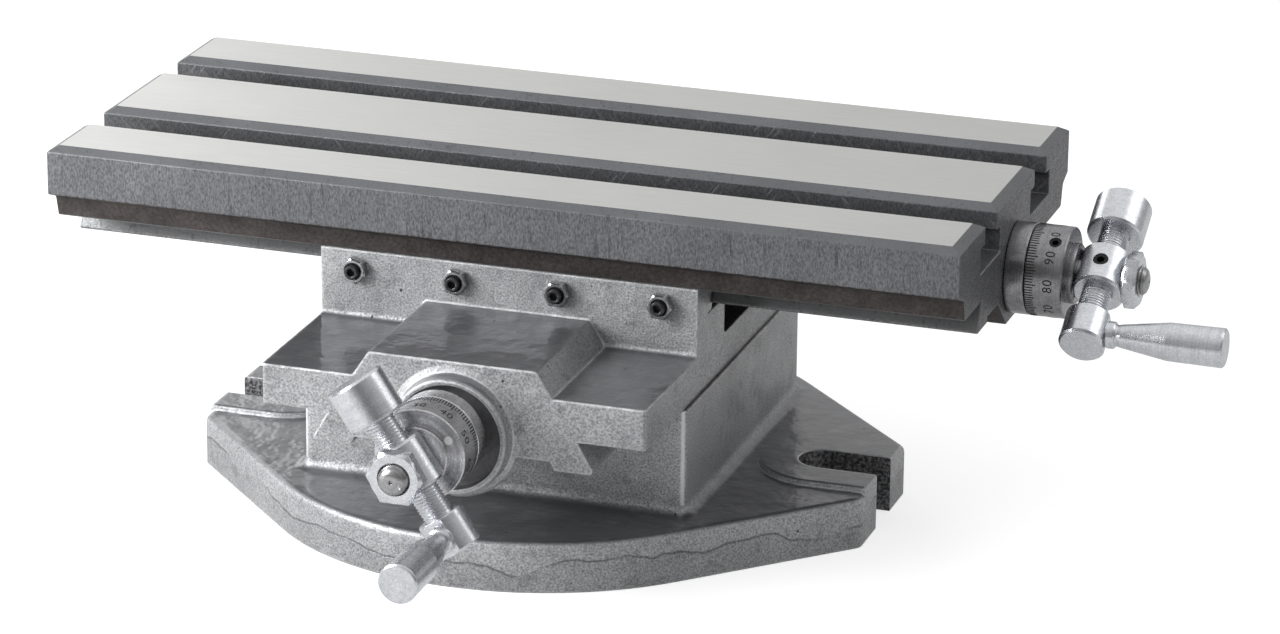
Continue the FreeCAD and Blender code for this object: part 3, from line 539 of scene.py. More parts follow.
@dataclass(frozen=True)
class TurnedMetal(Finish):
    """Metal off a lathe: rings of tool marks around the axis, on the rim and on the faces."""

    name: str = "turned_metal"
    metallic: float = 1.0
    colour: str = "#b9bdc2"
    shade: str = "#9a9ea4"
    gloss: float = 0.22
    # A finishing cut's feed is finer than this, too fine to show
    pitch: float = 0.5
    depth: float = 0.006
    ring_contrast: float = 0.12
    stain_contrast: float = 0.5
    stain_size: float = 3
    frost_size: float = 0.8
    edge_width: float = 0.3
    shaded_seam: float = 0.0
    centre: Triple = (0, 0, 0)
    axis: Triple = (0, 0, 1)

    def material(self) -> Material:
        """Metal with tool marks about an axis, and a near-black line of painted shade across it where a
        station is given.

        Returns:
            The material.
        """
        net = self.start()
        place = net.add("ShaderNodeVectorMath", {0: net.where, 1: self.centre}, operation="SUBTRACT")
        run, side = (net.add("ShaderNodeVectorMath", {0: place, 1: self.axis}, operation=way)
                     for way in ("DOT_PRODUCT", "CROSS_PRODUCT"))
        reach = net.add("ShaderNodeVectorMath", {0: side}, operation="LENGTH")
        ring = net.add("ShaderNodeCombineXYZ", {"X": run, "Y": reach})
        tool = net.grain(self.pitch, 2, 0.6, ring)
        stain = net.ramp(net.grain(self.stain_size, 4, 0.6), 0.4, 0.7, 0, self.stain_contrast)
        rings = net.ramp(tool, 0.35, 0.65, 1 - self.ring_contrast, 1 + self.ring_contrast / 2)
        tone = net.shaded(net.mixed(stain, self.colour, self.shade), rings)
        frost = net.grain(self.frost_size, 2, 0.7)
        tone = net.shaded(tone, net.ramp(frost, 0.35, 0.65, 0.88, 1.08))
        # Painted shade: a near-black line in the gap between the index collar and the dial
        if self.shaded_seam:
            gap = net.math(net.math(run, self.shaded_seam * MM, "SUBTRACT"), way="ABSOLUTE")
            tone = net.shaded(tone, net.ramp(gap, 0.08 * MM, 0.24 * MM, 0.05, 1.0))
        return net.finished({
            "Base Color": tone,
            "Roughness": net.ramp(frost, 0.3, 0.7, self.gloss + 0.07, self.gloss - 0.04),
            "Normal": net.bumps([(tool, self.depth), (frost, 0.012)], net.edges(self.edge_width)[0]),
        })


@dataclass(frozen=True)
class PlainMetal(Finish):
    """Small hardware in one metal: soft edges, a little staining and a fine rough skin."""

    name: str = "plain_metal"
    metallic: float = 1.0
    colour: str = "#8c8d8e"
    shade: str = "#6e6f70"
    gloss: float = 0.35
    edge_width: float = 0.2
    stain_size: float = 1.8
    skin_size: float = 0.4

    def material(self) -> Material:
        """Metal with soft edges and slight stains.

        Returns:
            The material.
        """
        net = self.start()
        stain = net.grain(self.stain_size, 3, 0.6)
        skin = net.grain(self.skin_size, 2)
        return net.finished({
            "Base Color": net.mixed(net.ramp(stain, 0.35, 0.68), self.colour, self.shade),
            "Roughness": net.ramp(stain, 0.3, 0.7, self.gloss - 0.05, self.gloss + 0.08),
            "Normal": net.bumps([(skin, 0.01)], net.edges(self.edge_width)[0]),
        })


def cad_dress(node: str, material: Material) -> None:
    """Give a CAD node's slots one material."""
    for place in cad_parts[node].material_slots:
        place.material = material


def keep(piece: Piece, slot: str, body: str, *nodes: str) -> None:
    """Hand one piece to its body.

    Args:
        piece: The piece.
        slot: Material slot of the record that it follows; not used.
        body: Body that it rides on.
        nodes: Nodes that it stands for.
    """
    if nodes:
        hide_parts(*nodes)
    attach(piece, body)
    LOG.info("%s: %d faces", piece.name, len(piece.data.polygons))


def corners(node: str) -> list[Vector]:
    """Lowest and highest corner of a CAD node, in metres."""
    return [Vector(corner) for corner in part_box(node)]


def span(node: str, way: Vector) -> float:
    """Length of a CAD node along an axis, in millimetres."""
    low, high = corners(node)
    return abs((high - low).dot(way)) / MM


def linked(name: str, data: bpy.types.ID) -> Piece:
    """Put data into the scene as an object, at the origin.

    Args:
        name: Name of the object.
        data: Its mesh, text, light or camera.

    Returns:
        The object.
    """
    made = bpy.data.objects.new(name, data)
    bpy.context.scene.collection.objects.link(made)
    return made


def object_from(name: str, shape: Shape, materials: Sequence[Material]) -> Piece:
    """Turn a shape into a scene object with smooth faces between its sharp edges.

    Args:
        name: Name of the object and its mesh.
        shape: The shape, which is freed.
        materials: Materials in slot order.

    Returns:
        The object, at the origin.
    """
    for edge in shape.edges:
        edge.smooth = len(edge.link_faces) == 2 and edge.calc_face_angle(math.pi) < SHARP_ANGLE
    for face in shape.faces:
        face.smooth = True
    mesh = bpy.data.meshes.new(name)
    shape.to_mesh(mesh)
    shape.free()
    for material in materials:
        mesh.materials.append(material)
    return linked(name, mesh)


def hexagon(across: float) -> Callable[[float], float]:
    """Radius of a hexagon of a width across flats, against the angle from a corner in radians."""
    sixth = math.pi / 3
    return lambda angle: across / 2 / math.cos(angle % sixth - sixth / 2)


def loft(rings: Sequence[tuple[Radius, float]], segments: int = 48, ring_shaped: bool = False) -> Shape:
    """Skin rings about the local Z axis, each with a radius or a radius function and a height.

    Args:
        rings: Rings in order along the profile, in millimetres.
        segments: Points in a ring.
        ring_shaped: Join the last ring to the first instead of capping both ends.

    Returns:
        The closed shape, in metres.
    """
    shape = bmesh.new()
    rows = []
    for radius, height in rings:
        row = []
        for step in range(segments):
            angle = 2 * math.pi * step / segments
            reach = (radius(angle) if callable(radius) else radius) * MM
            row.append(shape.verts.new((reach * math.cos(angle), reach * math.sin(angle), height * MM)))
        rows.append(row)
    pairs = list(zip(rows, rows[1:]))
    if ring_shaped:
        pairs.append((rows[-1], rows[0]))
    else:
        shape.faces.new(rows[0][::-1])
        shape.faces.new(rows[-1])
    for low, high in pairs:
        for step in range(segments):
            after = (step + 1) % segments
            shape.faces.new((low[step], low[after], high[after], high[step]))
    bmesh.ops.recalc_face_normals(shape, faces=shape.faces)
    return shape


def nut_shape(across: float, thickness: float, bore: float) -> Shape:
    """Hexagon nut whose corners are turned down at both faces and whose bore is countersunk.

    Args:
        across: Width across flats in millimetres.
        thickness: Height in millimetres.
        bore: Radius of the hole in millimetres.

    Returns:
        The nut standing on the local Z axis.
    """
    side = hexagon(across)
    face_share = 0.97
    slope = 0.5
    sink = 0.6
    face = across / 2 * face_share

    def trimmed(angle: float) -> float:
        """Radius where the flat top ends."""
        return min(side(angle), face)

    fall = (side(0) - face) * slope
    mouth = bore + sink
    rings = [(mouth, 0), (trimmed, 0), (side, fall), (side, thickness - fall), (trimmed, thickness),
             (mouth, thickness), (bore, thickness - sink), (bore, sink)]
    return loft(rings, ring_shaped=True)


def placed(shape: Shape, matrix: Matrix) -> Shape:
    """Put a shape's place into its vertices."""
    bmesh.ops.transform(shape, matrix=matrix, verts=shape.verts)
    return shape


def seat(origin: Sequence[float], upward: Sequence[float], reference: Sequence[float]) -> Matrix:
    """Matrix that stands local Z along a direction at a point.

    Args:
        origin: Point in metres.
        upward: Direction of the local Z axis.
        reference: Direction of the local X axis, square to the other.

    Returns:
        The matrix.
    """
    third = Vector(upward).normalized()
    first = Vector(reference).normalized()
    turn = Matrix((first, third.cross(first), third)).transposed().to_4x4()
    return Matrix.Translation(origin) @ turn


class Pattern(Net):
    """A Geometry Nodes tree with named inputs, run once on an object and kept as its plain mesh."""

    KINDS = {float: "NodeSocketFloat", int: "NodeSocketInt", tuple: "NodeSocketVector",
             Material: "NodeSocketMaterial"}

    def __init__(self, name: str, inputs: dict[str, float | int | tuple | Material]) -> None:
        """Start the tree.

        Args:
            name: Name of the tree.
            inputs: Input values by name.
        """
        super().__init__(bpy.data.node_groups.new(name, "GeometryNodeTree"))
        self.name = name
        self.values = inputs
        sockets = self.tree.interface
        for way in ("INPUT", "OUTPUT"):
            sockets.new_socket("Geometry", in_out=way, socket_type="NodeSocketGeometry")
        self.places = {}
        for label, value in inputs.items():
            kind = self.KINDS[type(value)]
            self.places[label] = sockets.new_socket(label, in_out="INPUT", socket_type=kind).identifier
        self.given = self.add("NodeGroupInput").node.outputs

    def run(self, geometry: Socket, name: str, matrix: Matrix, start: Shape | None = None) -> Piece:
        """End the tree, run it and keep the result.

        Args:
            geometry: Socket with the finished geometry.
            name: Name of the object.
            matrix: Place of the result, which goes into its vertices.
            start: Shape that the tree repeats, where it repeats one.

        Returns:
            The object with its plain mesh.
        """
        real = self.add("GeometryNodeRealizeInstances", {"Geometry": geometry})
        dressed = self.add("GeometryNodeSetMaterial", {"Geometry": real, "Material": self.given["Material"]})
        self.add("NodeGroupOutput", {"Geometry": dressed})
        made = object_from(name, start or bmesh.new(), [])
        modifier = made.modifiers.new(self.name, "NODES")
        modifier.node_group = self.tree
        for label, value in self.values.items():
            modifier[self.places[label]] = value
        graph = bpy.context.evaluated_depsgraph_get()
        mesh = bpy.data.meshes.new_from_object(made.evaluated_get(graph))
        made.modifiers.remove(modifier)
        made.data = mesh
        mesh.transform(matrix)
        return made


def thread(name: str, core: float, crest: float, pitch: float, length: float, flat: float, matrix: Matrix,
           material: Material, steps: int = 24) -> Piece:
    """Right-hand thread ridge wound about the local Z axis.

    Args:
        name: Name of the piece.
        core: Radius at the root in millimetres.
        crest: Radius at the crest in millimetres.
        pitch: Rise of one turn in millimetres.
        length: Length of the threaded stretch in millimetres.
        flat: Width of the crest as a share of the pitch.
        matrix: Place of the thread's start and axis.
        material: Finish of the ridge.
        steps: Points in a turn.

    Returns:
        The piece.
    """
    ridge = Pattern("thread_ridge", {
        "Core Radius": core * MM, "Crest Radius": crest * MM, "Pitch": pitch * MM, "Length": length * MM,
        "Crest Share": flat, "Root Share": 0.66, "Steps": steps, "Material": material,
    })
    given = ridge.given
    rise = given["Pitch"]
    turns = ridge.math(ridge.math(given["Length"], rise, "DIVIDE"), 1.0, "SUBTRACT")
    middle = ridge.math(ridge.math(given["Core Radius"], given["Crest Radius"], "ADD"), 0.5)
    helix = ridge.add("GeometryNodeCurveSpiral", {
        "Resolution": given["Steps"], "Rotations": turns, "Start Radius": middle, "End Radius": middle,
        "Height": ridge.math(turns, rise),
    })
    upright = ridge.add("GeometryNodeSetCurveNormal", {"Curve": helix}, mode="Z_UP")
    section = ridge.add("GeometryNodeCurvePrimitiveQuadrilateral", {
        "Height": ridge.math(given["Crest Radius"], given["Core Radius"], "SUBTRACT"), "Offset": 0.0,
        "Bottom Width": ridge.math(rise, given["Root Share"]),
        "Top Width": ridge.math(rise, given["Crest Share"]),
    }, mode="TRAPEZOID")
    turned = {"Geometry": section, "Rotation": (0.0, 0.0, math.pi / 2)}
    skin = {"Curve": upright, "Profile Curve": ridge.add("GeometryNodeTransform", turned), "Fill Caps": True}
    skin = {"Geometry": ridge.add("GeometryNodeCurveToMesh", skin), "Shade Smooth": False}
    skin = ridge.add("GeometryNodeSetShadeSmooth", skin)
    half = ridge.add("ShaderNodeCombineXYZ", {"Z": ridge.math(rise, 0.5)})
    risen = ridge.add("GeometryNodeTransform", {"Geometry": skin, "Translation": half})
    return ridge.run(risen, name, matrix)


class Zone(Enum):
    """Surfaces of the table casting, in the order of its material slots."""

    LAND = 0
    SIDE = 1
    SLOT = 2
    CAST = 3
    WAY = 4
    END = 5


@dataclass
class Table:
    """Table casting: ground lands, milled sides and slots, and the rough underside between its ways.

    Depths are measured down from its top and offsets from its long middle, in millimetres.
    """

    node: str = "table_casting"
    body: str = "table"
    land_depth: float = 2.3
    side_depth: float = 17.2
    side_offset: float = 71.5
    slot_reach: float = 45.5
    slot_inner: float = 19.0
    way_depth: float = 26.5
    way_offset: float = 33.9
    flat_area: float = 100.0
    edge_break: float = 0.35
    weld: float = 0.001
    top_depth: float = 0.01
    level: float = 0.99

    def zone(self, face: bmesh.types.BMFace) -> Zone:
        """Say how the maker finished one face.

        Args:
            face: A face of the merged copy.

        Returns:
            Its zone.
        """
        low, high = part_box(self.node)
        centre = face.calc_center_median()
        depth = (high[2] - centre.z) / MM
        offset = abs(centre.y - (low[1] + high[1]) / 2) / MM
        if face.normal.z > self.level and depth < self.top_depth:
            return Zone.LAND
        if abs(face.normal.x) > 0.5:
            return Zone.END
        if offset > self.side_offset or depth < self.land_depth:
            return Zone.SIDE
        if depth < self.side_depth and self.slot_inner < offset < self.slot_reach:
            return Zone.SLOT
        if depth > self.way_depth and offset > self.way_offset:
            return Zone.WAY
        return Zone.CAST

    def build(self) -> None:
        """Cut the casting's faces into zones, soften its edges and give each zone its finish."""
        shape = bmesh.new()
        shape.from_mesh(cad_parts[self.node].data)
        bmesh.ops.remove_doubles(shape, verts=shape.verts, dist=self.weld * MM)
        shape.normal_update()
        bmesh.ops.dissolve_limit(
            shape, angle_limit=math.radians(0.5), verts=shape.verts, edges=shape.edges, delimit={"NORMAL"},
        )
        for face in shape.faces:
            face.material_index = self.zone(face).value
        finishes = {
            Zone.LAND: GroundIron(name="ground_table_lands"),
            Zone.SIDE: MilledIron(name="milled_table_sides", skin_height=102.0),
            Zone.SLOT: MilledIron(name="milled_t_slots", colour="#515254", scratch="#8e8f91",
                                  along=(1, 1, 0.08), turns=(42.0, -38.0), spacing=0.9, amount=0.4),
            Zone.CAST: RawCasting(name="raw_table_underside"),
            Zone.WAY: MilledIron(name="milled_table_ways", colour="#737475", contrast=0.6),
            Zone.END: MilledIron(name="milled_table_ends", colour="#56575a", contrast=0.6, spacing=2.0,
                                 amount=0.3, grit=(1.0, 0.45, 1.0)),
        }
        piece = object_from("table_dressed", shape, [finishes[zone].material() for zone in Zone])
        for polygon in piece.data.polygons:
            polygon.use_smooth = polygon.area < self.flat_area * MM * MM
        edge = piece.modifiers.new("edge_break", "BEVEL")
        edge.width = self.edge_break * MM
        edge.segments = 2
        edge.limit_method = "ANGLE"
        edge.angle_limit = SHARP_ANGLE
        edge.harden_normals = True
        keep(piece, "ground_iron", self.body, self.node)


@dataclass
class Feed:
    """One slide's feed outside its bearing: leadscrew, index collar, graduated dial, crank, nut and handle.

    Lengths are in millimetres. Stations lie on the screw's axis, outward from the collar's first face.
    """

    letter: str
    body: str
    outward: Triple
    arm: Triple
    lead: float
    thread_length: float
    # Colour and shade of the dial steel; the two dials differ as painted light, the Y dial lighter
    dial_tones_with_painted_light: tuple[str, str]
    dial_start: float = 7.1
    dial_radius: float = 15.5
    line_count: int = 100
    line_start: float = 0.42
    line_width: float = 0.38
    line_depth: float = 0.1
    line_length: float = 2.6
    number_count: int = 10
    number_place: float = 8.2
    number_size: float = 4.6
    number_depth: float = 0.03
    arm_station: float = 30.35
    nut_station: float = 38.35
    stud_station: float = 46.25
    screw_radius: float = 6.0
    core_radius: float = 4.85
    screw_pitch: float = 2.0
    screw_flat: float = 0.36
    journal_radius: float = 5.0
    flange_radius: float = 8.5
    flange_length: float = 4.0
    flange_chamfer: float = 0.3
    start_chamfer: float = 1.0
    ring_step: float = 0.55
    ring_crest: float = 0.1
    ring_root: float = 0.65
    rings_length: float = 2.6
    dome_length: float = 1.3
    # Radii of the domed end and of its centre mark, each with its depth under the top
    dome: tuple[tuple[float, float], ...] = ((4.2, 1.1), (3.9, 0.75), (2.6, 0.2), (0.85, 0), (0.6, 0.1),
                                             (0.35, 0.9))
    neck_radius: float = 4.8
    neck_pitch: float = 1.1
    neck_height: float = 0.4
    neck_flat: float = 0.14
    head_centre: float = 25.1
    necks: tuple[tuple[float, float], ...] = ((-17.8, -8.2), (8.2, 18.8))
    nut_across: float = 17.0

    def point(self, station: float) -> Vector:
        """Point on the screw's axis.

        Args:
            station: Its station.

        Returns:
            The point, in metres.
        """
        low, high = corners(self.letter + "_dial")
        centre = (low + high) / 2
        outer = corners(self.letter + "_leadscrew")[0 if sum(self.outward) < 0 else 1]
        way = Vector(self.outward)
        across = centre - way * centre.dot(way)
        return across + way * (outer.dot(way) - (self.stud_station - station) * MM)

    def matrix(self, station: float) -> Matrix:
        """Place of the screw's axis at a station, with local X towards the crank's head."""
        return seat(self.point(station), self.outward, self.arm)

    def metal(self, finish: Finish, axis: Sequence[float], centre: Vector) -> Material:
        """Turned finish about an axis through a point in metres, named for this feed."""
        name = finish.name + "_" + self.letter
        return replace(finish, name=name, axis=tuple(axis), centre=tuple(centre)).material()

    def screw(self, steel: Material) -> None:
        """Cut the leadscrew: thread, thrust flange, journal and domed end with its centre mark.

        Args:
            steel: Its metal.
        """
        total = span(self.letter + "_leadscrew", Vector(self.outward))
        base = self.matrix(self.stud_station - total)
        core, journal, flange = self.core_radius, self.journal_radius, self.flange_radius
        chamfer = self.flange_chamfer
        thread_end = self.thread_length
        flange_end = thread_end + self.flange_length
        dome = total - self.dome_length
        crest, root = journal - self.ring_crest, journal - self.ring_root
        rings = [(core - self.start_chamfer, 0), (core, self.start_chamfer), (core, thread_end),
                 (flange - chamfer, thread_end), (flange, thread_end + chamfer),
                 (flange, flange_end - chamfer), (flange - chamfer, flange_end),
                 (journal, flange_end), (journal, dome - self.rings_length)]
        for step in (4, 3, 2, 1, 0):
            rings.append((crest if step % 2 else root, dome - step * self.ring_step))
        rings += [(radius, total - depth) for radius, depth in self.dome]
        bar = object_from(self.letter + "_screw_bar", placed(loft(rings, 64), base), [steel])
        keep(bar, "grey_steel", self.body, self.letter + "_leadscrew")
        ridge = thread(self.letter + "_screw_thread", core - 0.1, self.screw_radius, self.screw_pitch,
                       self.thread_length, self.screw_flat, base, steel)
        keep(ridge, "grey_steel", self.body)

    def graduations(self, matrix: Matrix, ink: Material) -> Piece:
        """Engraved lines round the dial, longer at each fifth and tenth.

        Args:
            matrix: Place of the dial's axis, with local X through the line of 0.
            ink: Colour of the engraving.

        Returns:
            The piece.
        """
        scale = Pattern("dial_graduations", {
            "Count": self.line_count, "Radius": self.dial_radius * MM,
            "Start": (self.dial_start + self.line_start) * MM, "Line Width": self.line_width * MM,
            "Line Depth": self.line_depth * MM, "Line Length": self.line_length * MM, "Material": ink,
        })
        given = scale.given
        circle = scale.add("GeometryNodeMeshCircle", {"Vertices": given["Count"], "Radius": given["Radius"]})
        size = {"X": given["Line Depth"], "Y": given["Line Width"], "Z": given["Line Length"]}
        line = scale.add("GeometryNodeMeshCube", {"Size": scale.add("ShaderNodeCombineXYZ", size)})
        drop = scale.add("ShaderNodeCombineXYZ", {"Z": scale.math(given["Line Length"], 0.5)})
        line = scale.add("GeometryNodeTransform", {"Geometry": line, "Translation": drop})
        index = scale.add("GeometryNodeInputIndex")
        longer = [scale.math(scale.math(scale.math(index, every, "MODULO"), 0.5, "LESS_THAN"), 0.2)
                  for every in (5.0, 10.0)]
        factor = scale.math(scale.math(*longer, "ADD"), 1.0, "ADD")
        step = scale.math(2 * math.pi, given["Count"], "DIVIDE")
        turn = scale.add("ShaderNodeCombineXYZ", {"Z": scale.math(index, step)})
        stretch = scale.add("ShaderNodeCombineXYZ", {"X": 1.0, "Y": 1.0, "Z": factor})
        lines = {"Points": circle, "Instance": line, "Rotation": turn, "Scale": stretch}
        lines = scale.add("GeometryNodeInstanceOnPoints", lines)
        place = scale.add("ShaderNodeCombineXYZ", {"Z": given["Start"]})
        risen = scale.add("GeometryNodeTransform", {"Geometry": lines, "Translation": place})
        return scale.run(risen, self.letter + "_dial_lines", matrix)

    def number(self, value: int) -> bpy.types.Mesh:
        """Flat mesh of one number, with its middle at the origin.

        Args:
            value: The number.

        Returns:
            The mesh, in metres.
        """
        words = bpy.data.curves.new("number", "FONT")
        words.body = str(value)
        words.size = self.number_size * MM
        words.align_x = "CENTER"
        words.align_y = "CENTER"
        words.extrude = self.number_depth * MM
        words.space_character = 1.1
        words.resolution_u = 3
        writer = linked("number", words)
        bpy.context.view_layer.update()
        mesh = bpy.data.meshes.new_from_object(writer)
        bpy.data.objects.remove(writer)
        bpy.data.curves.remove(words)
        return mesh

    def numerals(self, matrix: Matrix, ink: Material) -> Piece:
        """The numbers 0 to 90 engraved round the dial, with their tops towards its first end.

        Args:
            matrix: Place of the dial's axis, with local X through the number 0.
            ink: Colour of the engraving.

        Returns:
            The piece.
        """
        radius = self.dial_radius * MM
        height = (self.dial_start + self.number_place) * MM
        shape = bmesh.new()
        for tens in range(self.number_count):
            mesh = self.number(tens * 10)
            part = bmesh.new()
            part.from_mesh(mesh)
            bmesh.ops.triangulate(part, faces=part.faces)
            bmesh.ops.subdivide_edges(part, edges=part.edges, cuts=1)
            for vert in part.verts:
                angle = math.radians(-tens * 360 / self.number_count) - vert.co.x / radius
                reach = radius + vert.co.z
                vert.co = (reach * math.cos(angle), reach * math.sin(angle), height - vert.co.y)
            part.to_mesh(mesh)
            part.free()
            shape.from_mesh(mesh)
            bpy.data.meshes.remove(mesh)
        bmesh.ops.recalc_face_normals(shape, faces=shape.faces)
        return object_from(self.letter + "_dial_numbers", placed(shape, matrix), [ink])

    def dial(self) -> None:
        """Dress the dial and its index collar, and engrave the dial."""
        # Painted light in the dial tones, and painted shade in the gap to the collar
        steel = TurnedMetal(name="dark_turned_steel", colour=self.dial_tones_with_painted_light[0], shade=self.dial_tones_with_painted_light[1],
                            gloss=0.27, depth=0.012, ring_contrast=0.22, shaded_seam=self.dial_start - 0.05)
        steel = self.metal(steel, self.outward, self.point(0))
        cad_dress(self.letter + "_dial", steel)
        cad_dress(self.letter + "_index_collar", steel)
        ink = PlainMetal(name="engraving_" + self.letter, metallic=0.0, colour="#0e0e0f", shade="#1d1d1e",
                         gloss=0.7).material()
        turned = self.matrix(0) @ Matrix.Rotation(math.radians(self.lead), 4, "Z")
        keep(self.graduations(turned, ink), "grey_steel", self.body)
        keep(self.numerals(turned, ink), "grey_steel", self.body)

    def crank(self, zinc: Finish) -> None:
        """Dress the crank's turned bar, its grooved necks and its handle.

        Args:
            zinc: Its plating.
        """
        arm = Vector(self.arm)
        centre = self.point(self.arm_station)
        bar = self.metal(replace(zinc, name="zinc_turned_bar"), arm, centre)
        cad_dress(self.letter + "_crank_arm", bar)
        neck = self.neck_radius
        for place, (low, high) in zip(("weight", "head"), self.necks):
            base = seat(centre + arm * low * MM, arm, self.outward)
            rings = thread(self.letter + "_neck_" + place, neck - 0.05, neck + self.neck_height,
                           self.neck_pitch, high - low, self.neck_flat, base, bar, 32)
            keep(rings, "zinc_steel", self.body)
        handle = replace(zinc, name="zinc_handle", pitch=0.7, depth=0.008, ring_contrast=0.09)
        head = centre + arm * self.head_centre * MM
        cad_dress(self.letter + "_crank_handle", self.metal(handle, self.outward, head))

    def nut(self, zinc: Finish) -> None:
        """Put a chamfered nut on the stud.

        Args:
            zinc: Its plating.
        """
        node = self.letter + "_crank_nut"
        thickness = span(node, Vector(self.outward))
        reference = (1, 0, 0) if abs(self.outward[1]) > 0.5 else (0, 1, 0)
        base = seat(self.point(self.nut_station), self.outward, reference)
        metal = self.metal(replace(zinc, name="zinc_nut"), self.outward, self.point(0))
        shape = placed(nut_shape(self.nut_across, thickness, self.journal_radius), base)
        keep(object_from(self.letter + "_nut_dressed", shape, [metal]), "zinc_steel", self.body, node)

    def build(self) -> None:
        """Make and dress the whole feed."""
        zinc = TurnedMetal(name="zinc", colour="#d6d8dc", shade="#bfc2c7", gloss=0.26, depth=0.003,
                           ring_contrast=0.06)
        steel = TurnedMetal(name="bright_turned_screw", colour="#a8a8a9", shade="#89898a", gloss=0.28,
                            ring_contrast=0.3)
        self.screw(self.metal(steel, self.outward, self.point(0)))
        self.dial()
        self.crank(zinc)
        self.nut(zinc)
        black = PlainMetal(name="black_oxide_" + self.letter, metallic=0.6, colour="#232325",
                           shade="#141415").material()
        for part in ("_dial_screw", "_crank_screw"):
            cad_dress(self.letter + part, black)
        # Painted highlight: the polished pin is coloured near white and mostly diffuse
        pin = PlainMetal(name="bright_pin_" + self.letter, metallic=0.2, colour="#fafafa", shade="#eeeeee")
        cad_dress(self.letter + "_dial_pin", pin.material())


@dataclass
class GibRow:
    """The four adjusting screws of one gib with their locknuts. Lengths are in millimetres."""

    letter: str
    body: str
    inward: Triple
    along: Triple
    spacing: float = 36.0
    count: int = 4
    stand_out: float = 5.1
    screw_radius: float = 2.5
    tip_share: float = 0.6
    socket: float = 2.5
    mouth_share: float = 0.62
    mouth_depth: float = 0.15
    chamfer_share: float = 0.14
    nut_across: float = 8.0
    nut_thickness: float = 3.2
    screw_swing: float = 50.0
    nut_swing: float = 24.0
    seed: int = 7

    def screw(self, length: float) -> Shape:
        """Socket set screw: chamfered end with a hexagon socket at height 0, and a cone tip.

        Args:
            length: Its length.

        Returns:
            The screw, with its socket facing down the local Z axis.
        """
        radius = self.screw_radius
        edge, tip = radius * self.chamfer_share, radius * self.tip_share
        key = hexagon(self.socket)
        rings = [(key, self.socket), (key, self.mouth_depth), (self.socket * self.mouth_share, 0),
                 (radius - edge, 0), (radius, edge), (radius, length - (radius - tip)), (tip, length)]
        return loft(rings, 36)

    def row(self, name: str, shape: Shape, first: Vector, swing: float, finish: Finish) -> Piece:
        """The same small piece set in a straight row, each turned a little differently about its axis.

        Args:
            name: Name of the piece.
            shape: One piece, standing on the local Z axis.
            first: Place of the first piece, in metres.
            swing: Most that a piece is turned about its axis, in degrees.
            finish: Finish.

        Returns:
            The row as one plain mesh.
        """
        line = Pattern("fastener_row", {
            "Count": self.count, "Spacing": (self.spacing * MM, 0.0, 0.0), "Swing": math.radians(swing),
            "Seed": self.seed, "Material": finish.material(),
        })
        given = line.given
        points = line.add("GeometryNodeMeshLine", {"Count": given["Count"], "Offset": given["Spacing"]})
        chance = {2: 0.0, 3: given["Swing"], "Seed": given["Seed"]}
        chance = line.add("FunctionNodeRandomValue", chance, data_type="FLOAT")
        angle = line.add("ShaderNodeCombineXYZ", {"Z": chance})
        copies = {"Points": points, "Instance": given["Geometry"], "Rotation": angle}
        copies = line.add("GeometryNodeInstanceOnPoints", copies)
        return line.run(copies, name, seat(first, self.inward, self.along), shape)

    def build(self) -> None:
        """Set the screws and nuts in their row."""
        node = self.letter + "_gib_screws"
        low, high = corners(node)
        inward, along = Vector(self.inward), Vector(self.along)
        length = span(node, inward)
        first = (low + high) / 2 - inward * length / 2 * MM - along * self.spacing * (self.count - 1) / 2 * MM
        black = PlainMetal(name="black_socket_screws_" + self.letter, metallic=0.6, colour="#4a4a4c",
                           shade="#333335", gloss=0.28)
        satin = PlainMetal(name="satin_locknuts_" + self.letter, colour="#b6b7b8", shade="#8d8e90",
                           gloss=0.28)
        screws = self.row(self.letter + "_gib_screw_row", self.screw(length), first, self.screw_swing, black)
        nut = nut_shape(self.nut_across, self.nut_thickness, self.screw_radius)
        face = first + inward * (self.stand_out - self.nut_thickness) * MM
        nuts = self.row(self.letter + "_gib_nut_row", nut, face, self.nut_swing, satin)
        keep(screws, "black_steel", self.body, node)
        keep(nuts, "bright_steel", self.body, self.letter + "_gib_locknuts")


@dataclass(frozen=True)
class Lamp:
    """One rectangular soft light. Lengths are in metres and its power in watts."""

    name: str
    place: Triple
    target: Triple
    size: tuple[float, float]
    power: float

    def hang(self) -> None:
        """Hang the light at its place, facing its target."""
        light = bpy.data.lights.new(self.name, "AREA")
        light.shape = "RECTANGLE"
        light.size, light.size_y = self.size
        light.energy = self.power
        aim = (Vector(self.target) - Vector(self.place)).to_track_quat("-Z", "Y")
        linked(self.name, light).matrix_world = Matrix.Translation(self.place) @ aim.to_matrix().to_4x4()


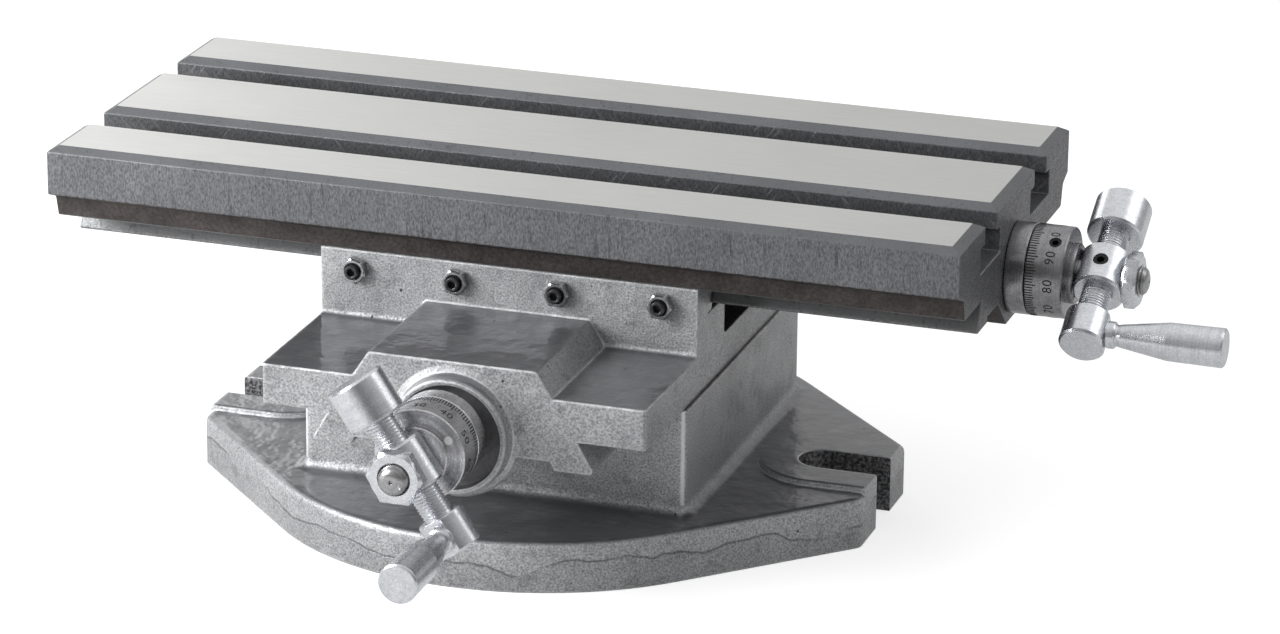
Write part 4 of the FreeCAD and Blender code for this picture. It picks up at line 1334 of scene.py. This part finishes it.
@dataclass
class Studio:
    """Pale floor, plain soft lights and the camera at the photograph's place."""

    place: Triple = (0.56555, -1.62628, 0.66524)
    yaw: float = 0.317563
    pitch: float = 0.338579
    roll: float = 0.010557
    focal_pixels: float = 5328.28
    frame_pixels: int = 1280
    floor_size: float = 12.0
    floor_colour: str = "#b2b2b2"
    floor_glow: float = 0.7
    sky_levels: tuple[float, float] = (0.09, 0.98)
    bright_side: Triple = (-0.03, 0.28, 0.96)
    mirrored_white: float = 0.4
    lamps: tuple[Lamp, ...] = (
        Lamp("key_front_left", (-0.57, -0.46, 0.37), (-0.14, -0.05, 0.06), (0.42, 0.42), 8.6),
        Lamp("fill_front", (-0.1, -1.9, 0.45), (0.0, -0.05, 0.06), (1.2, 0.7), 0.5),
        Lamp("sheet_back_left", (-1.7, 1.7, 0.95), (-0.1, 0, 0.1), (1.7, 1.3), 10.0),
        Lamp("strip_right", (1.3, 0.6, 1.25), (0.1, 0, 0.08), (1.0, 1.1), 4.2),
    )

    def camera(self) -> None:
        """Set up the camera."""
        ahead = Vector((
            -math.sin(self.yaw) * math.cos(self.pitch), math.cos(self.yaw) * math.cos(self.pitch),
            -math.sin(self.pitch),
        ))
        level = Vector((math.cos(self.yaw), math.sin(self.yaw), 0))
        above = level.cross(ahead)
        right = level * math.cos(self.roll) + above * math.sin(self.roll)
        upward = above * math.cos(self.roll) - level * math.sin(self.roll)
        lens = bpy.data.cameras.new("camera")
        lens.sensor_width = 36.0
        lens.lens = self.focal_pixels * lens.sensor_width / self.frame_pixels
        lens.clip_end = 50
        holder = linked("camera", lens)
        turn = Matrix((right, upward, -ahead)).transposed().to_4x4()
        holder.matrix_world = Matrix.Translation(self.place) @ turn
        bpy.context.scene.camera = holder

    def floor(self) -> None:
        """Lay a white floor that shows white to the camera and keeps the shadow."""
        material = bpy.data.materials.new("white_sweep")
        material.use_nodes = True
        material.node_tree.nodes.clear()
        net = Net(material.node_tree)
        matt = net.add("ShaderNodeBsdfDiffuse", {"Color": linear(self.floor_colour)})
        ray = net.add("ShaderNodeLightPath").node.outputs
        mirrored = net.math(ray["Is Glossy Ray"], ray["Is Transmission Ray"], "MAXIMUM")
        seen = net.math(ray["Is Camera Ray"], net.math(mirrored, self.mirrored_white), "MAXIMUM")
        glow = {"Color": linear("#ffffff"), "Strength": net.math(seen, self.floor_glow)}
        both = net.add("ShaderNodeAddShader", {0: matt, 1: net.add("ShaderNodeEmission", glow)})
        net.add("ShaderNodeOutputMaterial", {"Surface": both})
        half = self.floor_size / 2
        mesh = bpy.data.meshes.new("floor")
        rim = [(-half, -half, 0), (half, -half, 0), (half, half, 0), (-half, half, 0)]
        mesh.from_pydata(rim, [], [(0, 1, 2, 3)])
        mesh.materials.append(material)
        linked("floor", mesh)

    def world(self) -> None:
        """Surround the scene with plain light, white where it is seen directly."""
        sky = bpy.data.worlds.new("studio")
        bpy.context.scene.world = sky
        sky.use_nodes = True
        sky.node_tree.nodes.clear()
        net = Net(sky.node_tree)
        ray = net.add("ShaderNodeLightPath").node.outputs
        heading = net.add("ShaderNodeTexCoord").node.outputs["Generated"]
        facing = net.add("ShaderNodeVectorMath", {0: heading, 1: self.bright_side}, operation="DOT_PRODUCT")
        level = net.ramp(facing, -0.2, 1.0, *self.sky_levels)
        strength = net.math(level, ray["Is Camera Ray"], "MAXIMUM")
        glow = net.add("ShaderNodeBackground", {"Color": linear("#ffffff"), "Strength": strength})
        net.add("ShaderNodeOutputWorld", {"Surface": glow})

    def build(self) -> None:
        """Set up everything that isn't part of the object."""
        self.camera()
        self.floor()
        self.world()
        for lamp in self.lamps:
            lamp.hang()
        bpy.context.scene.view_settings.view_transform = "Standard"


def main() -> None:
    """Dress every sub-assembly in order."""
    logging.basicConfig(level=logging.INFO, format="%(name)s: %(message)s")
    Studio().build()
    base = CastingPaint(name="aluminium_enamel_with_runs", run_height=9.0, corner_height=21.0,
                        slot_box=(88.6, 8.6, 19.2))
    cad_dress("base_casting", base.material())
    cad_dress("saddle_casting", CastingPaint(recess=(1.0, 52.7, 18.0, -102.4)).material())
    Table().build()
    front, side = math.radians(-55.5), math.radians(29.3)
    # Both dials are the same steel; the Y dial's lighter tones are painted light
    feeds = [
        Feed(letter="y", body="y_screw", outward=(0, -1, 0), arm=(math.cos(front), 0, math.sin(front)),
             lead=260.0, thread_length=133.0, dial_tones_with_painted_light=("#d6d5d7", "#b4b3b6")),
        Feed(letter="x", body="x_screw", outward=(1, 0, 0), arm=(0, -math.cos(side), -math.sin(side)),
             lead=-99.8, thread_length=250.0, dial_tones_with_painted_light=("#969598", "#6f6e71")),
    ]
    for feed in feeds:
        feed.build()
    GibRow(letter="y", body="base", inward=(1, 0, 0), along=(0, 1, 0)).build()
    GibRow(letter="x", body="saddle", inward=(0, 1, 0), along=(1, 0, 0)).build()
    bronze = PlainMetal(name="cast_bronze", colour="#a9824c", shade="#8a6637").material()
    black = PlainMetal(name="black_oxide_cap_screws", metallic=0.6, colour="#232325",
                       shade="#161618").material()
    way = GroundIron(name="ground_gibs", colour="#9b9b9a", shade="#7e7e7d", gloss=0.38).material()
    for letter in "xy":
        cad_dress(letter + "_nut", bronze)
        cad_dress(letter + "_nut_screws", black)
        cad_dress(letter + "_gib", way)


if __name__ == "__main__":
    main()
